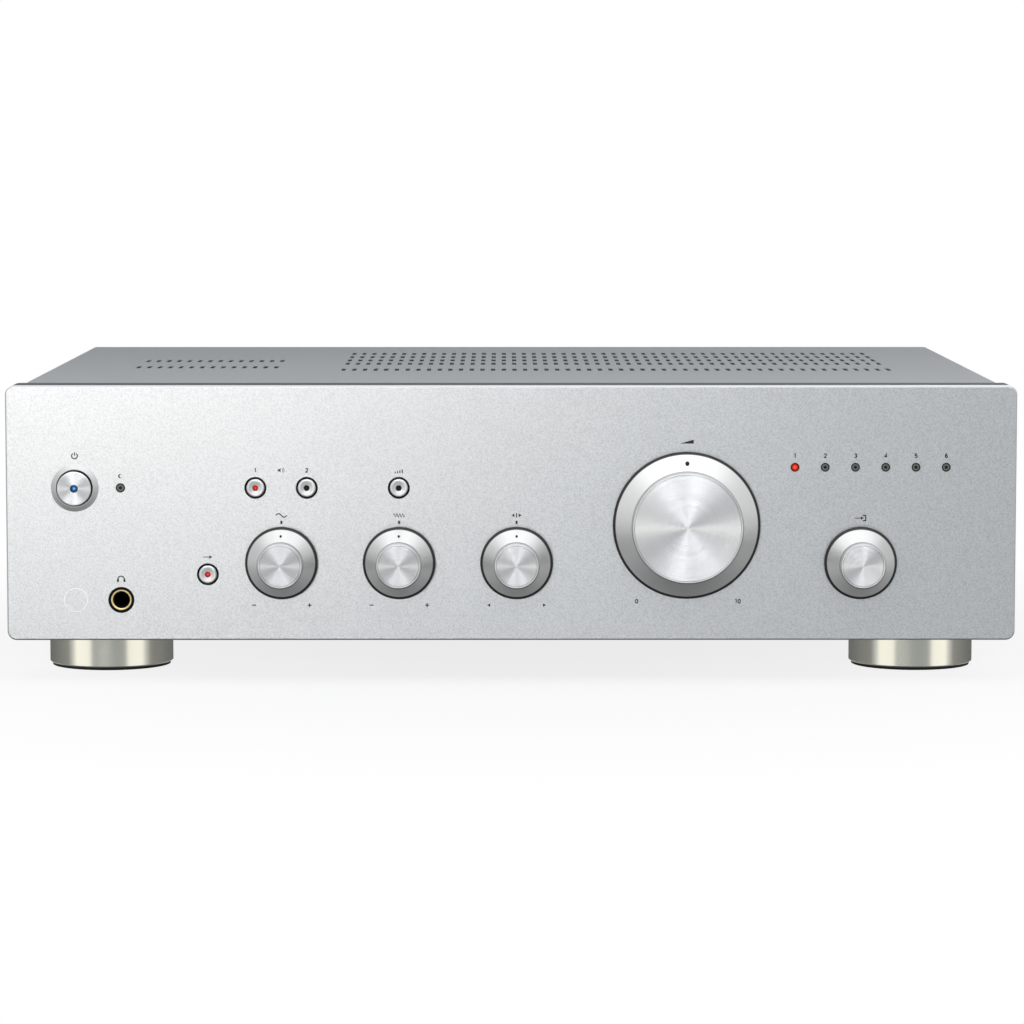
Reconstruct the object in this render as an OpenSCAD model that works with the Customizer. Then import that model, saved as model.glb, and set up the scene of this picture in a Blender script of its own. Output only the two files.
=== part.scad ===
// Integrated amplifier: a full-width hi-fi component with a silver front.
// Millimetres, Z up, front towards -Y. Depths named d run back from the panel's face.

/* [Case] */
// Width of the front panel
case_width = 435; // [425:1:450]
// Depth from the panel's face to the back of the cover
case_depth = 320; // [312:1:340]
// Height of the front panel
panel_height = 110; // [108:1:118]
// Gap under the front panel
foot_height = 18.5; // [16:0.5:24]
// Thickness of the aluminium front panel
panel_thick = 5; // [4.5:0.25:6]
// Depth of the frame behind the panel
frame_depth = 16; // [15:0.5:20]
// Thickness of the sheet steel
sheet = 1; // [0.8:0.1:1.4]
// How far the cover stands in from each end of the panel
cover_inset = 5; // [4:0.5:8]

/* [Feet] */
// Diameter of a foot
foot_dia = 55; // [48:1:60]
// Foot centre in from the end of the panel
foot_inset = 38.5; // [36:0.5:50]
// Front foot centre behind the panel's face
foot_front = 67; // [60:1:90]
// Rear foot centre in front of the cover's back
foot_rear = 50; // [40:1:70]

/* [Knobs] */
// How far the knobs stand out from the panel
knob_reach = 15.5; // [14.5:0.5:18]
// Diameter of the volume knob's skirt
volume_dia = 63.5; // [58:0.5:66]
// Diameter of the small knobs' skirts
tone_dia = 31.3; // [30:0.1:34]
// Diameter of the volume knob's grip
volume_grip = 48; // [44:0.5:50]
// Diameter of the small knobs' grips
tone_grip = 19.8; // [19:0.1:22]
// Diameter of the control shafts
shaft_dia = 6; // [5.5:0.1:6.35]

/* [Buttons and sockets] */
// Diameter of the small buttons
button_dia = 7.7; // [7:0.1:8.2]
// Diameter of the standby button
standby_dia = 14.6; // [13.5:0.1:15.5]
// How far a button goes in
button_travel = 0.8; // [0.5:0.1:1]
// Bore of the headphone socket
phones_bore = 6.5; // [6.4:0.1:6.8]

/* [Back] */
// How far the speaker terminals stand out behind the cover
post_reach = 24.5; // [22:0.5:28]
// Bore for a banana plug
banana_bore = 4.1; // [4.05:0.05:4.3]
// Outer diameter of a phono socket's shell
phono_dia = 8.3; // [8.2:0.1:8.6]

/* [Vents] */
// Length of a vent slot
slot_long = 18; // [10:1:20]
// Width of a vent slot
slot_wide = 2; // [1.6:0.1:2.6]
// Step from slot to slot
slot_pitch = 4.9; // [4.6:0.1:5]

/* [Hidden] */
$fn = 64;

// Named clearances
cut = 0.5;            // how far a cutting shape runs past a face
skin_gap = 0.1;       // between sheets that lie together
run_gap = 0.05;       // round a turning shaft
free_gap = 0.3;       // round a sliding or seated piece
glue_gap = 0.05;      // round a glued or pressed piece
button_gap = 0.9;     // dark ring round a button in the panel

// Overall frame: the part is centred over its own length, width and depth
overall_depth = knob_reach + case_depth + post_reach;
face_y = knob_reach - overall_depth / 2;
half_w = case_width / 2;
half_cover = half_w - cover_inset;
top_z = foot_height + panel_height;
base_lift = 2;
base_z = foot_height + base_lift;
floor_z = base_z + sheet;

// Depth stations
web_thick = 3;
web_0 = panel_thick;
web_1 = web_0 + web_thick;
frame_back = panel_thick + frame_depth;
lip_0 = case_depth - sheet;
rear_1 = lip_0;
rear_0 = rear_1 - sheet;
pot_len = 9;
board_thick = 1.6;
board_0 = web_1 + pot_len;
board_1 = board_0 + board_thick;

// Panel
corner_r = 4;
edge_cham = 0.65;

// Control positions: the ends keep their distance from the panel's edges,
// and what lies between spreads with the width
left_in = 29.7;
left_in_2 = 49.3;
lamps_in = 30.3;
key_down = 44;
lamp_down = 35.15;
tone_up = 33.6;
volume_up = 49.9;
direct_up = 28.6;
phones_up = 17.5;
left_col = -half_w + left_in;
left_col_2 = -half_w + left_in_2;
key_z = top_z - key_down;
lamp_z = top_z - lamp_down;
tone_z = foot_height + tone_up;
phones_z = foot_height + phones_up;
bass_pos = [-0.4552 * half_w, tone_z];
treble_pos = [-0.2221 * half_w, tone_z];
balance_pos = [0.0106 * half_w, tone_z];
volume_pos = [0.3471 * half_w, foot_height + volume_up];
input_pos = [0.692 * half_w, tone_z];
standby_pos = [left_col, key_z];
speaker_a_pos = [-0.5062 * half_w, key_z];
speaker_b_pos = [-0.4046 * half_w, key_z];
loudness_pos = [-0.2225 * half_w, key_z];
direct_pos = [-0.6014 * half_w, foot_height + direct_up];
phones_pos = [left_col_2, phones_z];
plug_pos = [left_col, phones_z];
standby_lamp_pos = [left_col_2, key_z];
input_lamp_step = 13.02;
input_lamps = [for (i = [0:5]) [half_w - lamps_in - (5 - i) * input_lamp_step, lamp_z]];
small_pots = [bass_pos, treble_pos, balance_pos, input_pos];
all_pots = concat([volume_pos], small_pots);
small_keys = [speaker_a_pos, speaker_b_pos, loudness_pos, direct_pos];
all_keys = concat([standby_pos], small_keys);

// Knob sections
knob_gap = 1;
rim_front = 2.9;
rim_flat = 1.9;
skirt_foot = 6.1;     // grip length ahead of the skirt's cone
skirt_edge = 1.25;    // width of the skirt's dark edge
grip_edge = 0.6;
disc_thick = 1.2;
disc_inset = 1.1;     // disc's edge in from the grip
knob_wall = 2.4;
boss_wall = 2.2;
boss_back = 1.2;
knob_floor = 2.5;
volume_dot = 1.8;     // pointer drilled into the cone
tone_dot = 1;
pointer_at = 0.465;   // its place on the cone, from grip to skirt
pointer_deep = 0.3;
bore_r = shaft_dia / 2 + glue_gap;
bore_front = knob_reach - disc_thick - knob_floor;

// Control bodies
bush_r = shaft_dia / 2 + 1.2;
bush_front = panel_thick - 3.5;
nut_thick = 2;
nut_flat = 2 * bush_r + 2.6;
nut_r = nut_flat / 2 / cos(30);
pot_hole_r = nut_r + 0.8;
pot_r = 8.5;
volume_pot_r = 12;
volume_pot_len = 15;
pot_skin = 1.5;
rotor_gap = 1;
rotor_thick = 2;
rotor_0 = web_1 + pot_skin + rotor_gap;

// Buttons
key_r = button_dia / 2;
key_hole_r = key_r + button_gap;
key_proud = button_travel + 0.2;
guide_r = 1;
guide_bore_r = guide_r + free_gap;
stem_hole_r = key_r + free_gap;
flange_r = key_r + 1.7;
flange_thick = 1.6;
arm_reach = 9;
arm_wide = 4;
pin_r = 1.5;
pin_long = 3.4;
switch_size = 6;
switch_0 = web_1 + flange_thick + button_travel + 0.6;
switch_bore_r = pin_r + free_gap + 0.1;
switch_floor = 0.8;
standby_r = standby_dia / 2;
standby_proud = 2.4;
bezel_rise = 1.8;
standby_face = -bezel_rise - standby_proud;
standby_back = panel_thick - button_travel - 0.25;
bezel_bore_r = standby_r + 0.6;
bezel_tube_r = bezel_bore_r + 0.8;
bezel_r = bezel_bore_r + 2.35;
bezel_lip = 0.3;
bezel_edge = 0.3;

// Lamps and sockets
lamp_r = 1.9;
standby_lamp_r = 2;
lamp_front = 0.3;
lamp_clear = 0.2;     // a light guide stays this far inside a pressed button
led_r = 2.4;
led_0 = board_0 - 4.6;
nose_r = 5.6;
ring_r = 4.5;
ring_in_r = 3.7;
ring_long = 1.6;
phones_half = 6.5;
phones_long = 28;
plug_r = 5;

// Boards behind the front
board_side = 15;
board_over = 0.9;
board_drop = 27.5;
board_half = half_w - board_side;
board_low = phones_z + phones_half + board_over;
board_high = top_z - board_drop;
post_r = 3.5;
post_in = 7.5;
post_end = 5.2;
board_posts = [for (s = [-1, 1], z = [board_low + post_end, board_high - post_end])
  [s * (board_half - post_in), z]];
screw_in = 11.5;
screw_end = 13;
panel_screws = [for (s = [-1, 1], z = [foot_height + screw_end, top_z - screw_end])
  [s * (half_w - screw_in), z]];
base_screws = [for (x = [-0.87, -0.28, 0.28, 0.87]) x * half_w];

// Fasteners
m3_r = 1.45;
m3_tap = 1.5;
m3_free = 1.7;
m3_head_r = 3;
m3_head = 2;
m3_long = 6;
m4_r = 2;
m4_head_r = 4;
m4_head = 2.5;
upstand = 8.5;
up_screw = 5;
up_screw_z = base_z + up_screw;

// Frame
frame_side = cover_inset + sheet + 1.5;
frame_wall = 3;
tongue_long = 6;

// Cover
bend_r = 2.5;
lip_high = 10;
lip_screw_in = 62.5;
lip_screws = [lip_screw_in - half_cover, 0, half_cover - lip_screw_in];
side_screw_front = 90;
side_screw_rear = 70;
side_screws = [side_screw_front, case_depth - side_screw_rear];
side_screw_up = 7.5;
side_screw_z = base_z + side_screw_up;
side_flange = 14;
// vents: the small field stands in from the left, the big one fills what is left
vent_left = 40.1;
vent_gap = 32;
vent_right = 39.2;
small_vent_x = vent_left - half_cover;
small_vent_cols = 14;
small_vent_rows = [140.4, 192.2];
big_vent_x = small_vent_x + (small_vent_cols - 1) * slot_pitch + vent_gap;
big_vent_cols = floor((half_cover - vent_right - big_vent_x) / slot_pitch) + 1;
big_vent_rows = [121, 169.3, 198, 226.7, 256];

// Base
tray_half = half_cover - sheet - skin_gap;
foot_x = half_w - foot_inset;
foot_d = [foot_front, case_depth - foot_rear];
feet_at = [for (s = [-1, 1], d = foot_d) [s * foot_x, d]];
stand_high = 8;
stand_r = 3.5;

// Feet
foot_r = foot_dia / 2;
pad_show = 1.3;
pad_thick = 2.3;
pad_inset = 1.2;
foot_wall = 2.5;
foot_floor = 2.5;
boss_r = 8;
pad_r = foot_r - pad_inset;
foot_cham = 0.5;
seat_z = 10;
foot_screw_tip = 4;

// Inside
core_side = 72.5;
core_pos = [core_side - half_cover, 166];
leg = 28;
core_wide = 3 * leg;
core_high = 2.5 * leg;
core_deep = 46;
core_lift = 4;
lug_long = 12;
lug_thick = 2;
lug_screws = [for (sx = [-1, 1], sd = [-1, 1]) [sx * (core_wide / 2 + lug_long / 2), sd * 14]];
coil_wall = leg / 2 - 0.5;
main_gap = 16;
main_side = 8;
main_front = 130;
main_rear = 18;
main_x = [core_pos[0] + core_wide / 2 + lug_long + main_gap, half_cover - main_side];
main_d = [main_front, rear_0 - main_rear];
main_z = floor_z + stand_high;
main_top = main_z + board_thick;
stand_in = 8;
stands = [for (x = [main_x[0] + stand_in, (main_x[0] + main_x[1]) / 2, main_x[1] - stand_in],
  d = [main_d[0] + stand_in, main_d[1] - stand_in]) [x, d]];
sink_left = 20;
sink_right = 54.5;
sink_x = [main_x[0] + sink_left, main_x[1] - sink_right];
sink_long = sink_x[1] - sink_x[0];
sink_rear = 114;
sink_d = main_d[1] - sink_rear;
sink_back = 6;
sink_top = 25;
fin_long = 25;
fin_thick = 2;
fin_step = 11;
fin_in = 4;
fin_count = floor((sink_long - fin_in - fin_thick) / fin_step) + 1;
sink_high = top_z - main_top - sink_top;
chip = [15.6, 5, 20];
chip_up = 12;
chip_x = [for (share = [0.15, 0.35, 0.65, 0.85]) sink_x[0] + share * sink_long];
can_r = 15;
can_high = 45;
can_in = 65;
can_step = 40;
can_rear = 45;
can_at = [for (i = [0, 1]) [sink_x[0] + can_in + i * can_step, main_d[1] - can_rear]];
floor_vent_cols = floor(sink_long / slot_pitch);
floor_vent_off = 20;

// Back: phono sockets
phono_step = 17;
phono_cols = 7;
phono_side = 22;
phono_low = 46;
phono_gap = 18;
phono_right = half_cover - phono_side;
phono_rows = [foot_height + phono_low, foot_height + phono_low + phono_gap];
phono_at = [for (i = [0:phono_cols - 1], z = phono_rows) [phono_right - i * phono_step, z]];
phono_margin = 11;
phono_deep = 14;
phono_boss_r = phono_dia / 2 + 1.35;
phono_boss_out = 1.4;
phono_shell_wall = 0.8;
phono_seat_step = 0.3;   // the shell's tail is this much smaller in radius
phono_shell_out = 9;
phono_seat = 6;
phono_pin_r = 1.7;
phono_screws = [for (i = [0.5, 2.5, 5.5]) [phono_right - i * phono_step, phono_rows[0] + phono_gap / 2]];

// Back: speaker terminals
term_side = 152.5;
term_step = 22;
term_low = 40;
term_gap = 26;
term_edge = 14;
term_wall = 6;
term_x = term_side - half_cover;
term_rows = [foot_height + term_low, foot_height + term_low + term_gap];
term_mid = (term_rows[0] + term_rows[1]) / 2;
term_at = [for (z = [1, 0], i = [0:3]) [term_x + (i - 1.5) * term_step, term_rows[z]]];
term_half = [1.5 * term_step + term_edge, term_gap / 2 + term_edge];
term_box = [1.5 * term_step + term_wall, term_gap / 2 + term_wall];
flange_out = 3;
term_deep = 11;
term_screw_in = 4;
term_screws = [for (sx = [-1, 1], sz = [-1, 1])
  [term_x + sx * (term_half[0] - term_screw_in), term_mid + sz * (term_half[1] - term_screw_in)]];
stud_r = 2.5;
post_tip = case_depth + post_reach;
post_out_r = banana_bore / 2 + 1.45;
shoulder_r = 5;
shoulder_thick = 2;
shoulder_0 = rear_1 + flange_out;
cap_0 = shoulder_0 + shoulder_thick + 0.2;
cap_1 = post_tip - 1;
cap_r = 7;
cap_bore_r = post_out_r + run_gap;
wire_hole_r = 1.3;
banana_long = 18;

// Back: mains inlet and ground screw
inlet_side = 27.5;
inlet_up = 34;
inlet_pos = [inlet_side - half_cover, foot_height + inlet_up];
inlet_flange = [25, 12];
inlet_body = [13.8, 10];
inlet_hollow = [12.2, 8.1];
inlet_cham = 4;
inlet_deep = 17;
inlet_back = 19;
inlet_screw = 20;
pin_size = [2, 4];
pin_at = [[-7, -2], [7, -2], [0, 2]];
pin_out = 15;
pin_tail = 6;
ground_off = 7;
ground_pos = [phono_right - phono_step * phono_cols - ground_off, phono_rows[0]];
ground_r = 5;
ground_long = 9;
ground_shank_r = 2;
ground_tail = 8;

// Moves a piece from depths behind the panel's face into the shared frame.
module placed() {
  translate([0, face_y, 0]) children();
}

// Puts a piece at a place on the front or the back.
module at(p) {
  translate([p[0], 0, p[1]]) children();
}

// A round bar along the depth.
module rod(r, d0, d1) {
  translate([0, d0, 0]) rotate([-90, 0, 0]) cylinder(r = r, h = d1 - d0);
}

// A block given by its two ends along each axis.
module block(x, d, z) {
  translate([x[0], d[0], z[0]]) cube([x[1] - x[0], d[1] - d[0], z[1] - z[0]]);
}

// A turned piece: points are radius and depth.
module turned(points) {
  rotate([-90, 0, 0]) rotate_extrude() polygon(points);
}

// A flat shape drawn in width and height, given thickness along the depth.
module across(d0, d1) {
  translate([0, d1, 0]) rotate([90, 0, 0]) linear_extrude(height = d1 - d0) children();
}

// The front's outline with round corners.
module outline() {
  translate([-half_w + corner_r, foot_height]) square([case_width - 2 * corner_r, panel_height]);
  translate([-half_w, foot_height + corner_r]) square([case_width, panel_height - 2 * corner_r]);
  for (x = [-half_w + corner_r, half_w - corner_r])
    for (z = [foot_height + corner_r, top_z - corner_r])
      translate([x, z]) circle(r = corner_r);
}

// Takes the front edge off the panel all the way round.
module edge_cut() {
  straight_x = case_width - 2 * corner_r;
  straight_z = panel_height - 2 * corner_r;
  wedge = [[-cut, -cut], [edge_cham + cut, -cut], [-cut, edge_cham + cut]];
  // left and right edges
  translate([-half_w, 0, foot_height + corner_r]) linear_extrude(height = straight_z) polygon(wedge);
  translate([half_w, 0, foot_height + corner_r])
    mirror([1, 0, 0]) linear_extrude(height = straight_z) polygon(wedge);
  // bottom and top edges
  translate([straight_x / 2, 0, foot_height])
    rotate([0, -90, 0]) linear_extrude(height = straight_x) polygon(wedge);
  translate([-straight_x / 2, 0, top_z])
    rotate([0, 90, 0]) linear_extrude(height = straight_x) polygon(wedge);
  // corners
  for (i = [0:3]) {
    sx = (i == 0 || i == 3) ? 1 : -1;
    sz = (i < 2) ? 1 : -1;
    translate([sx * straight_x / 2, 0, foot_height + panel_height / 2 + sz * straight_z / 2])
      rotate([90, 0, 0])
        rotate_extrude(angle = 90, start = i * 90)
          polygon([[corner_r + cut, cut], [corner_r - edge_cham - cut, cut],
            [corner_r + cut, -edge_cham - cut]]);
  }
}

// One small machine screw: head above, shank below.
module m3() {
  cylinder(r = m3_head_r, h = m3_head);
  translate([0, 0, -m3_long]) cylinder(r = m3_r, h = m3_long + cut);
}

// The same screw with its head towards the back.
module m3_back(d) {
  translate([0, d, 0]) rotate([-90, 0, 0]) m3();
}

// One vent slot with round ends.
module slot() {
  straight = slot_long - slot_wide;
  square([slot_wide, straight], center = true);
  for (s = [-1, 1]) translate([0, s * straight / 2]) circle(r = slot_wide / 2);
}

// A field of vent slots.
module slot_field(x0, cols, rows) {
  for (i = [0:cols - 1], d = rows) translate([x0 + i * slot_pitch, d]) slot();
}

module chassis_base() {
  color("#8f9396") placed() difference() {
    union() {
      // tray floor with its slots
      translate([0, 0, base_z]) linear_extrude(height = sheet) difference() {
        translate([-tray_half, frame_back]) square([2 * tray_half, rear_0 - frame_back]);
        slot_field(sink_x[0], floor_vent_cols, [sink_d - floor_vent_off, sink_d + floor_vent_off]);
        for (p = feet_at) translate(p) circle(r = m4_r + glue_gap);
      }
      // side flanges
      for (s = [-1, 1])
        translate([s * (tray_half - sheet / 2), 0, 0])
          block([-sheet / 2, sheet / 2], [frame_back + sheet, rear_0 - sheet],
            [base_z, base_z + side_flange]);
      // front and rear upstands
      block([-tray_half, tray_half], [frame_back, frame_back + sheet], [base_z, base_z + upstand]);
      block([-tray_half, tray_half], [rear_0 - sheet, rear_0], [base_z, base_z + upstand]);
      // pressed pillars for the main board
      for (p = stands) translate([p[0], p[1], floor_z - sheet / 2])
        cylinder(r = stand_r, h = stand_high + sheet / 2);
      // pressed pillars for the transformer
      for (p = lug_screws) translate([core_pos[0] + p[0], core_pos[1] + p[1], floor_z - sheet / 2])
        cylinder(r = stand_r, h = core_lift + sheet / 2);
    }
    for (p = stands) translate([p[0], p[1], floor_z]) cylinder(r = m3_tap, h = stand_high + cut);
    for (p = lug_screws) translate([core_pos[0] + p[0], core_pos[1] + p[1], base_z - cut])
      cylinder(r = m3_tap, h = core_lift + sheet + 2 * cut);
    for (x = base_screws) translate([x, 0, up_screw_z]) {
      rod(m3_free, frame_back - cut, frame_back + sheet + cut);
      rod(m3_tap, rear_0 - sheet - cut, rear_0 + cut);
    }
    for (s = [-1, 1], d = side_screws) translate([s * tray_half, d, side_screw_z])
      rotate([0, 90, 0]) cylinder(r = m3_tap, h = 4 * sheet, center = true);
  }
}

module rear_panel() {
  color("#55585c") placed() across(rear_0, rear_1) difference() {
    translate([-tray_half, base_z]) square([2 * tray_half, top_z - sheet - skin_gap - base_z]);
    for (p = phono_at) translate(p) circle(r = phono_boss_r + free_gap);
    for (p = phono_screws) translate(p) circle(r = m3_free);
    translate([term_x, term_mid]) square([2 * term_box[0] + 2 * free_gap, 2 * term_box[1] + 2 * free_gap],
      center = true);
    for (p = term_screws) translate(p) circle(r = m3_tap);
    translate(inlet_pos) square([2 * inlet_body[0] + 2 * free_gap, 2 * inlet_body[1] + 2 * free_gap],
      center = true);
    for (s = [-1, 1]) translate([inlet_pos[0] + s * inlet_screw, inlet_pos[1]]) circle(r = m3_tap);
    translate(ground_pos) circle(r = ground_shank_r + run_gap);
    for (x = base_screws) translate([x, up_screw_z]) circle(r = m3_free);
    for (x = lip_screws) translate([x, top_z - lip_high / 2 - sheet / 2]) circle(r = m3_tap);
  }
}

// One side of the cover with its bend, drawn in width and height.
module cover_side() {
  translate([half_cover - sheet, base_z]) square([sheet, top_z - bend_r - base_z]);
  translate([half_cover - bend_r, top_z - bend_r]) difference() {
    intersection() {
      circle(r = bend_r);
      square(bend_r);
    }
    circle(r = bend_r - sheet);
  }
}

module top_cover() {
  color("#a6a9ad") placed() difference() {
    union() {
      translate([0, 0, top_z - sheet]) linear_extrude(height = sheet) difference() {
        translate([-half_cover + bend_r, frame_back])
          square([2 * (half_cover - bend_r), case_depth - frame_back]);
        slot_field(big_vent_x, big_vent_cols, big_vent_rows);
        slot_field(small_vent_x, small_vent_cols, small_vent_rows);
      }
      across(frame_back, case_depth) {
        cover_side();
        mirror([1, 0]) cover_side();
      }
      block([-half_cover + bend_r, half_cover - bend_r], [lip_0, case_depth],
        [top_z - lip_high, top_z - sheet / 2]);
    }
    for (x = lip_screws) translate([x, 0, top_z - lip_high / 2 - sheet / 2])
      rod(m3_free, lip_0 - cut, case_depth + cut);
    for (s = [-1, 1], d = side_screws) translate([s * half_cover, d, side_screw_z])
      rotate([0, 90, 0]) cylinder(r = m3_free, h = 3 * sheet, center = true);
  }
}

module front_frame() {
  color("#3a3c3f") placed() difference() {
    union() {
      across(web_0, web_1) difference() {
        outline();
        for (p = all_pots) translate(p) circle(r = bush_r + glue_gap);
        for (p = all_keys) translate(p) circle(r = stem_hole_r);
        for (p = input_lamps) translate(p) circle(r = lamp_r + free_gap);
        translate(standby_lamp_pos) circle(r = standby_lamp_r + free_gap);
        translate(phones_pos) circle(r = nose_r + free_gap);
        for (p = panel_screws) translate(p) circle(r = m3_free);
      }
      // rim running back to the cover
      across(web_1 - cut, frame_back) difference() {
        outline();
        translate([-half_w + frame_side, foot_height + frame_wall])
          square([case_width - 2 * frame_side, panel_height - 2 * frame_wall]);
      }
      // tongue under the cover's front edge
      block([-half_cover + 30, half_cover - 30], [frame_back - cut, frame_back + tongue_long],
        [top_z - sheet - skin_gap - 1.6, top_z - sheet - skin_gap]);
      for (p = board_posts) at(p) rod(post_r, web_1 - cut, board_0);
      for (x = base_screws) at([x, up_screw_z]) rod(post_r, web_1 - cut, frame_back);
    }
    for (p = board_posts) at(p) rod(m3_tap, board_1 - m3_long - 1, board_0 + cut);
    for (x = base_screws) at([x, up_screw_z]) rod(m3_tap, frame_back - m3_long, frame_back + cut);
  }
}

module front_panel() {
  color("#d4d6d8") placed() difference() {
    across(0, panel_thick) difference() {
      outline();
      for (p = all_pots) translate(p) circle(r = pot_hole_r);
      for (p = small_keys) translate(p) circle(r = key_hole_r);
      translate(standby_pos) circle(r = bezel_tube_r + glue_gap);
      for (p = input_lamps) translate(p) circle(r = lamp_r + glue_gap);
      translate(standby_lamp_pos) circle(r = standby_lamp_r + glue_gap);
      translate(phones_pos) circle(r = nose_r + glue_gap);
      translate(plug_pos) circle(r = plug_r + glue_gap);
    }
    edge_cut();
    for (p = panel_screws) at(p) rod(m3_tap, web_1 - m3_long - 0.3, panel_thick + cut);
  }
}

module foot() {
  rotate_extrude() polygon([
    [m4_head_r + 0.6, pad_show], [boss_r - 0.1, pad_show],
    [boss_r - 0.1, pad_thick], [pad_r + 0.1, pad_thick],
    [pad_r + 0.1, pad_show], [foot_r - foot_cham, pad_show], [foot_r, pad_show + foot_cham],
    [foot_r, base_z], [foot_r - foot_wall, base_z],
    [foot_r - foot_wall, pad_thick + foot_floor], [boss_r, pad_thick + foot_floor],
    [boss_r, base_z], [m4_r + 0.2, base_z],
    [m4_r + 0.2, seat_z], [m4_head_r + 0.6, seat_z]]);
}

module feet() {
  color("#9a988c") placed() for (p = feet_at) translate([p[0], p[1], 0]) foot();
}

module foot_pads() {
  color("#1c1c1d") placed() for (p = feet_at) translate([p[0], p[1], 0]) difference() {
    cylinder(r = pad_r, h = pad_thick);
    translate([0, 0, -cut]) cylinder(r = boss_r, h = pad_thick + 2 * cut);
  }
}

module foot_screws() {
  color("#b9bbbd") placed() for (p = feet_at) translate([p[0], p[1], 0]) {
    translate([0, 0, seat_z - m4_head]) cylinder(r = m4_head_r, h = m4_head);
    translate([0, 0, seat_z - cut]) cylinder(r = m4_r, h = floor_z + foot_screw_tip - seat_z + cut);
  }
}

module case_screws() {
  color("#6f7276") placed() {
    for (s = [-1, 1], d = side_screws)
      translate([s * half_cover, d, side_screw_z]) rotate([0, s * 90, 0]) m3();
    for (x = lip_screws) at([x, top_z - lip_high / 2 - sheet / 2]) m3_back(case_depth);
    for (x = base_screws) at([x, up_screw_z]) {
      m3_back(frame_back + sheet);
      m3_back(rear_1);
    }
    for (p = panel_screws) at(p) m3_back(web_1);
    for (p = board_posts) at(p) m3_back(board_1);
    for (p = stands) translate([p[0], p[1], main_top]) m3();
    for (p = lug_screws)
      translate([core_pos[0] + p[0], core_pos[1] + p[1], floor_z + core_lift + lug_thick]) m3();
    for (s = [-1, 1]) at([inlet_pos[0] + s * inlet_screw, inlet_pos[1]]) m3_back(rear_1 + flange_out);
    for (p = term_screws) at(p) m3_back(rear_1 + flange_out);
    for (p = phono_screws) at(p) m3_back(rear_1);
  }
}

// A knob: turned skirt, cone and grip, hollow behind, with a bored boss.
module knob(dia, grip) {
  r = dia / 2;
  g = grip / 2;
  cone_r = r - skirt_edge;
  neck = knob_reach - skirt_foot;
  boss = bore_r + boss_wall;
  turned([
    [0, -bore_front], [0, disc_thick - knob_reach],
    [g - disc_inset + glue_gap, disc_thick - knob_reach],
    [g - disc_inset + glue_gap, -knob_reach], [g - grip_edge, -knob_reach],
    [g, grip_edge - knob_reach], [g, -neck],
    [cone_r, -rim_front], [r, -rim_flat], [r, -knob_gap],
    [cone_r - knob_wall, -knob_gap], [g - knob_wall, knob_wall - neck],
    [boss, knob_wall - neck], [boss, -boss_back],
    [bore_r, -boss_back], [bore_r, -bore_front]]);
}

// The same knob with a pointer drilled into the top of its cone.
module pointed_knob(dia, grip, dot) {
  cone_r = dia / 2 - skirt_edge;
  slope = (knob_reach - skirt_foot - rim_front) / (cone_r - grip / 2);
  up = grip / 2 + pointer_at * (cone_r - grip / 2);
  face = -rim_front - (cone_r - up) * slope;
  difference() {
    knob(dia, grip);
    translate([0, 0, up]) rod(dot / 2, face - dot * slope, face + dot / 2 * slope + pointer_deep);
  }
}

// The spun face let into a knob's front.
module disc(grip) {
  turned([
    [0, disc_thick - knob_reach], [grip / 2 - disc_inset, disc_thick - knob_reach],
    [grip / 2 - disc_inset, 0.2 - knob_reach], [grip / 2 - disc_inset - 0.2, -knob_reach],
    [0, -knob_reach]]);
}

// A control shaft with the rotor that keeps it in its pot.
module shaft(body_r) {
  rod(shaft_dia / 2, -bore_front, rotor_0 + cut);
  rod(body_r - pot_skin - rotor_gap, rotor_0, rotor_0 + rotor_thick);
}

// A pot: bush through the web and a hollow body behind it.
module pot(body_r, long) {
  hollow_r = body_r - pot_skin;
  turned([
    [shaft_dia / 2 + run_gap, bush_front], [bush_r - 0.4, bush_front], [bush_r, bush_front + 0.4],
    [bush_r, web_1], [body_r, web_1], [body_r, web_1 + long], [0, web_1 + long],
    [0, web_1 + long - pot_skin], [hollow_r, web_1 + long - pot_skin],
    [hollow_r, web_1 + pot_skin], [shaft_dia / 2 + run_gap, web_1 + pot_skin]]);
}

module volume_knob() {
  color("#c9cccf") placed() at(volume_pos) pointed_knob(volume_dia, volume_grip, volume_dot);
}
module volume_disc() {
  color("#dfe1e3") placed() at(volume_pos) disc(volume_grip);
}
module volume_shaft() {
  color("#b8babc") placed() at(volume_pos) shaft(volume_pot_r);
}
module bass_knob() {
  color("#c9cccf") placed() at(bass_pos) pointed_knob(tone_dia, tone_grip, tone_dot);
}
module bass_disc() {
  color("#dfe1e3") placed() at(bass_pos) disc(tone_grip);
}
module bass_shaft() {
  color("#b8babc") placed() at(bass_pos) shaft(pot_r);
}
module treble_knob() {
  color("#c9cccf") placed() at(treble_pos) pointed_knob(tone_dia, tone_grip, tone_dot);
}
module treble_disc() {
  color("#dfe1e3") placed() at(treble_pos) disc(tone_grip);
}
module treble_shaft() {
  color("#b8babc") placed() at(treble_pos) shaft(pot_r);
}
module balance_knob() {
  color("#c9cccf") placed() at(balance_pos) pointed_knob(tone_dia, tone_grip, tone_dot);
}
module balance_disc() {
  color("#dfe1e3") placed() at(balance_pos) disc(tone_grip);
}
module balance_shaft() {
  color("#b8babc") placed() at(balance_pos) shaft(pot_r);
}
module input_knob() {
  color("#c9cccf") placed() at(input_pos) knob(tone_dia, tone_grip);
}
module input_disc() {
  color("#dfe1e3") placed() at(input_pos) disc(tone_grip);
}
module input_shaft() {
  color("#b8babc") placed() at(input_pos) shaft(pot_r);
}

module volume_pot() {
  color("#4f6b4a") placed() at(volume_pos) pot(volume_pot_r, volume_pot_len);
}

module control_pots() {
  color("#4f6b4a") placed() for (p = small_pots) at(p) pot(pot_r, pot_len);
}

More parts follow.
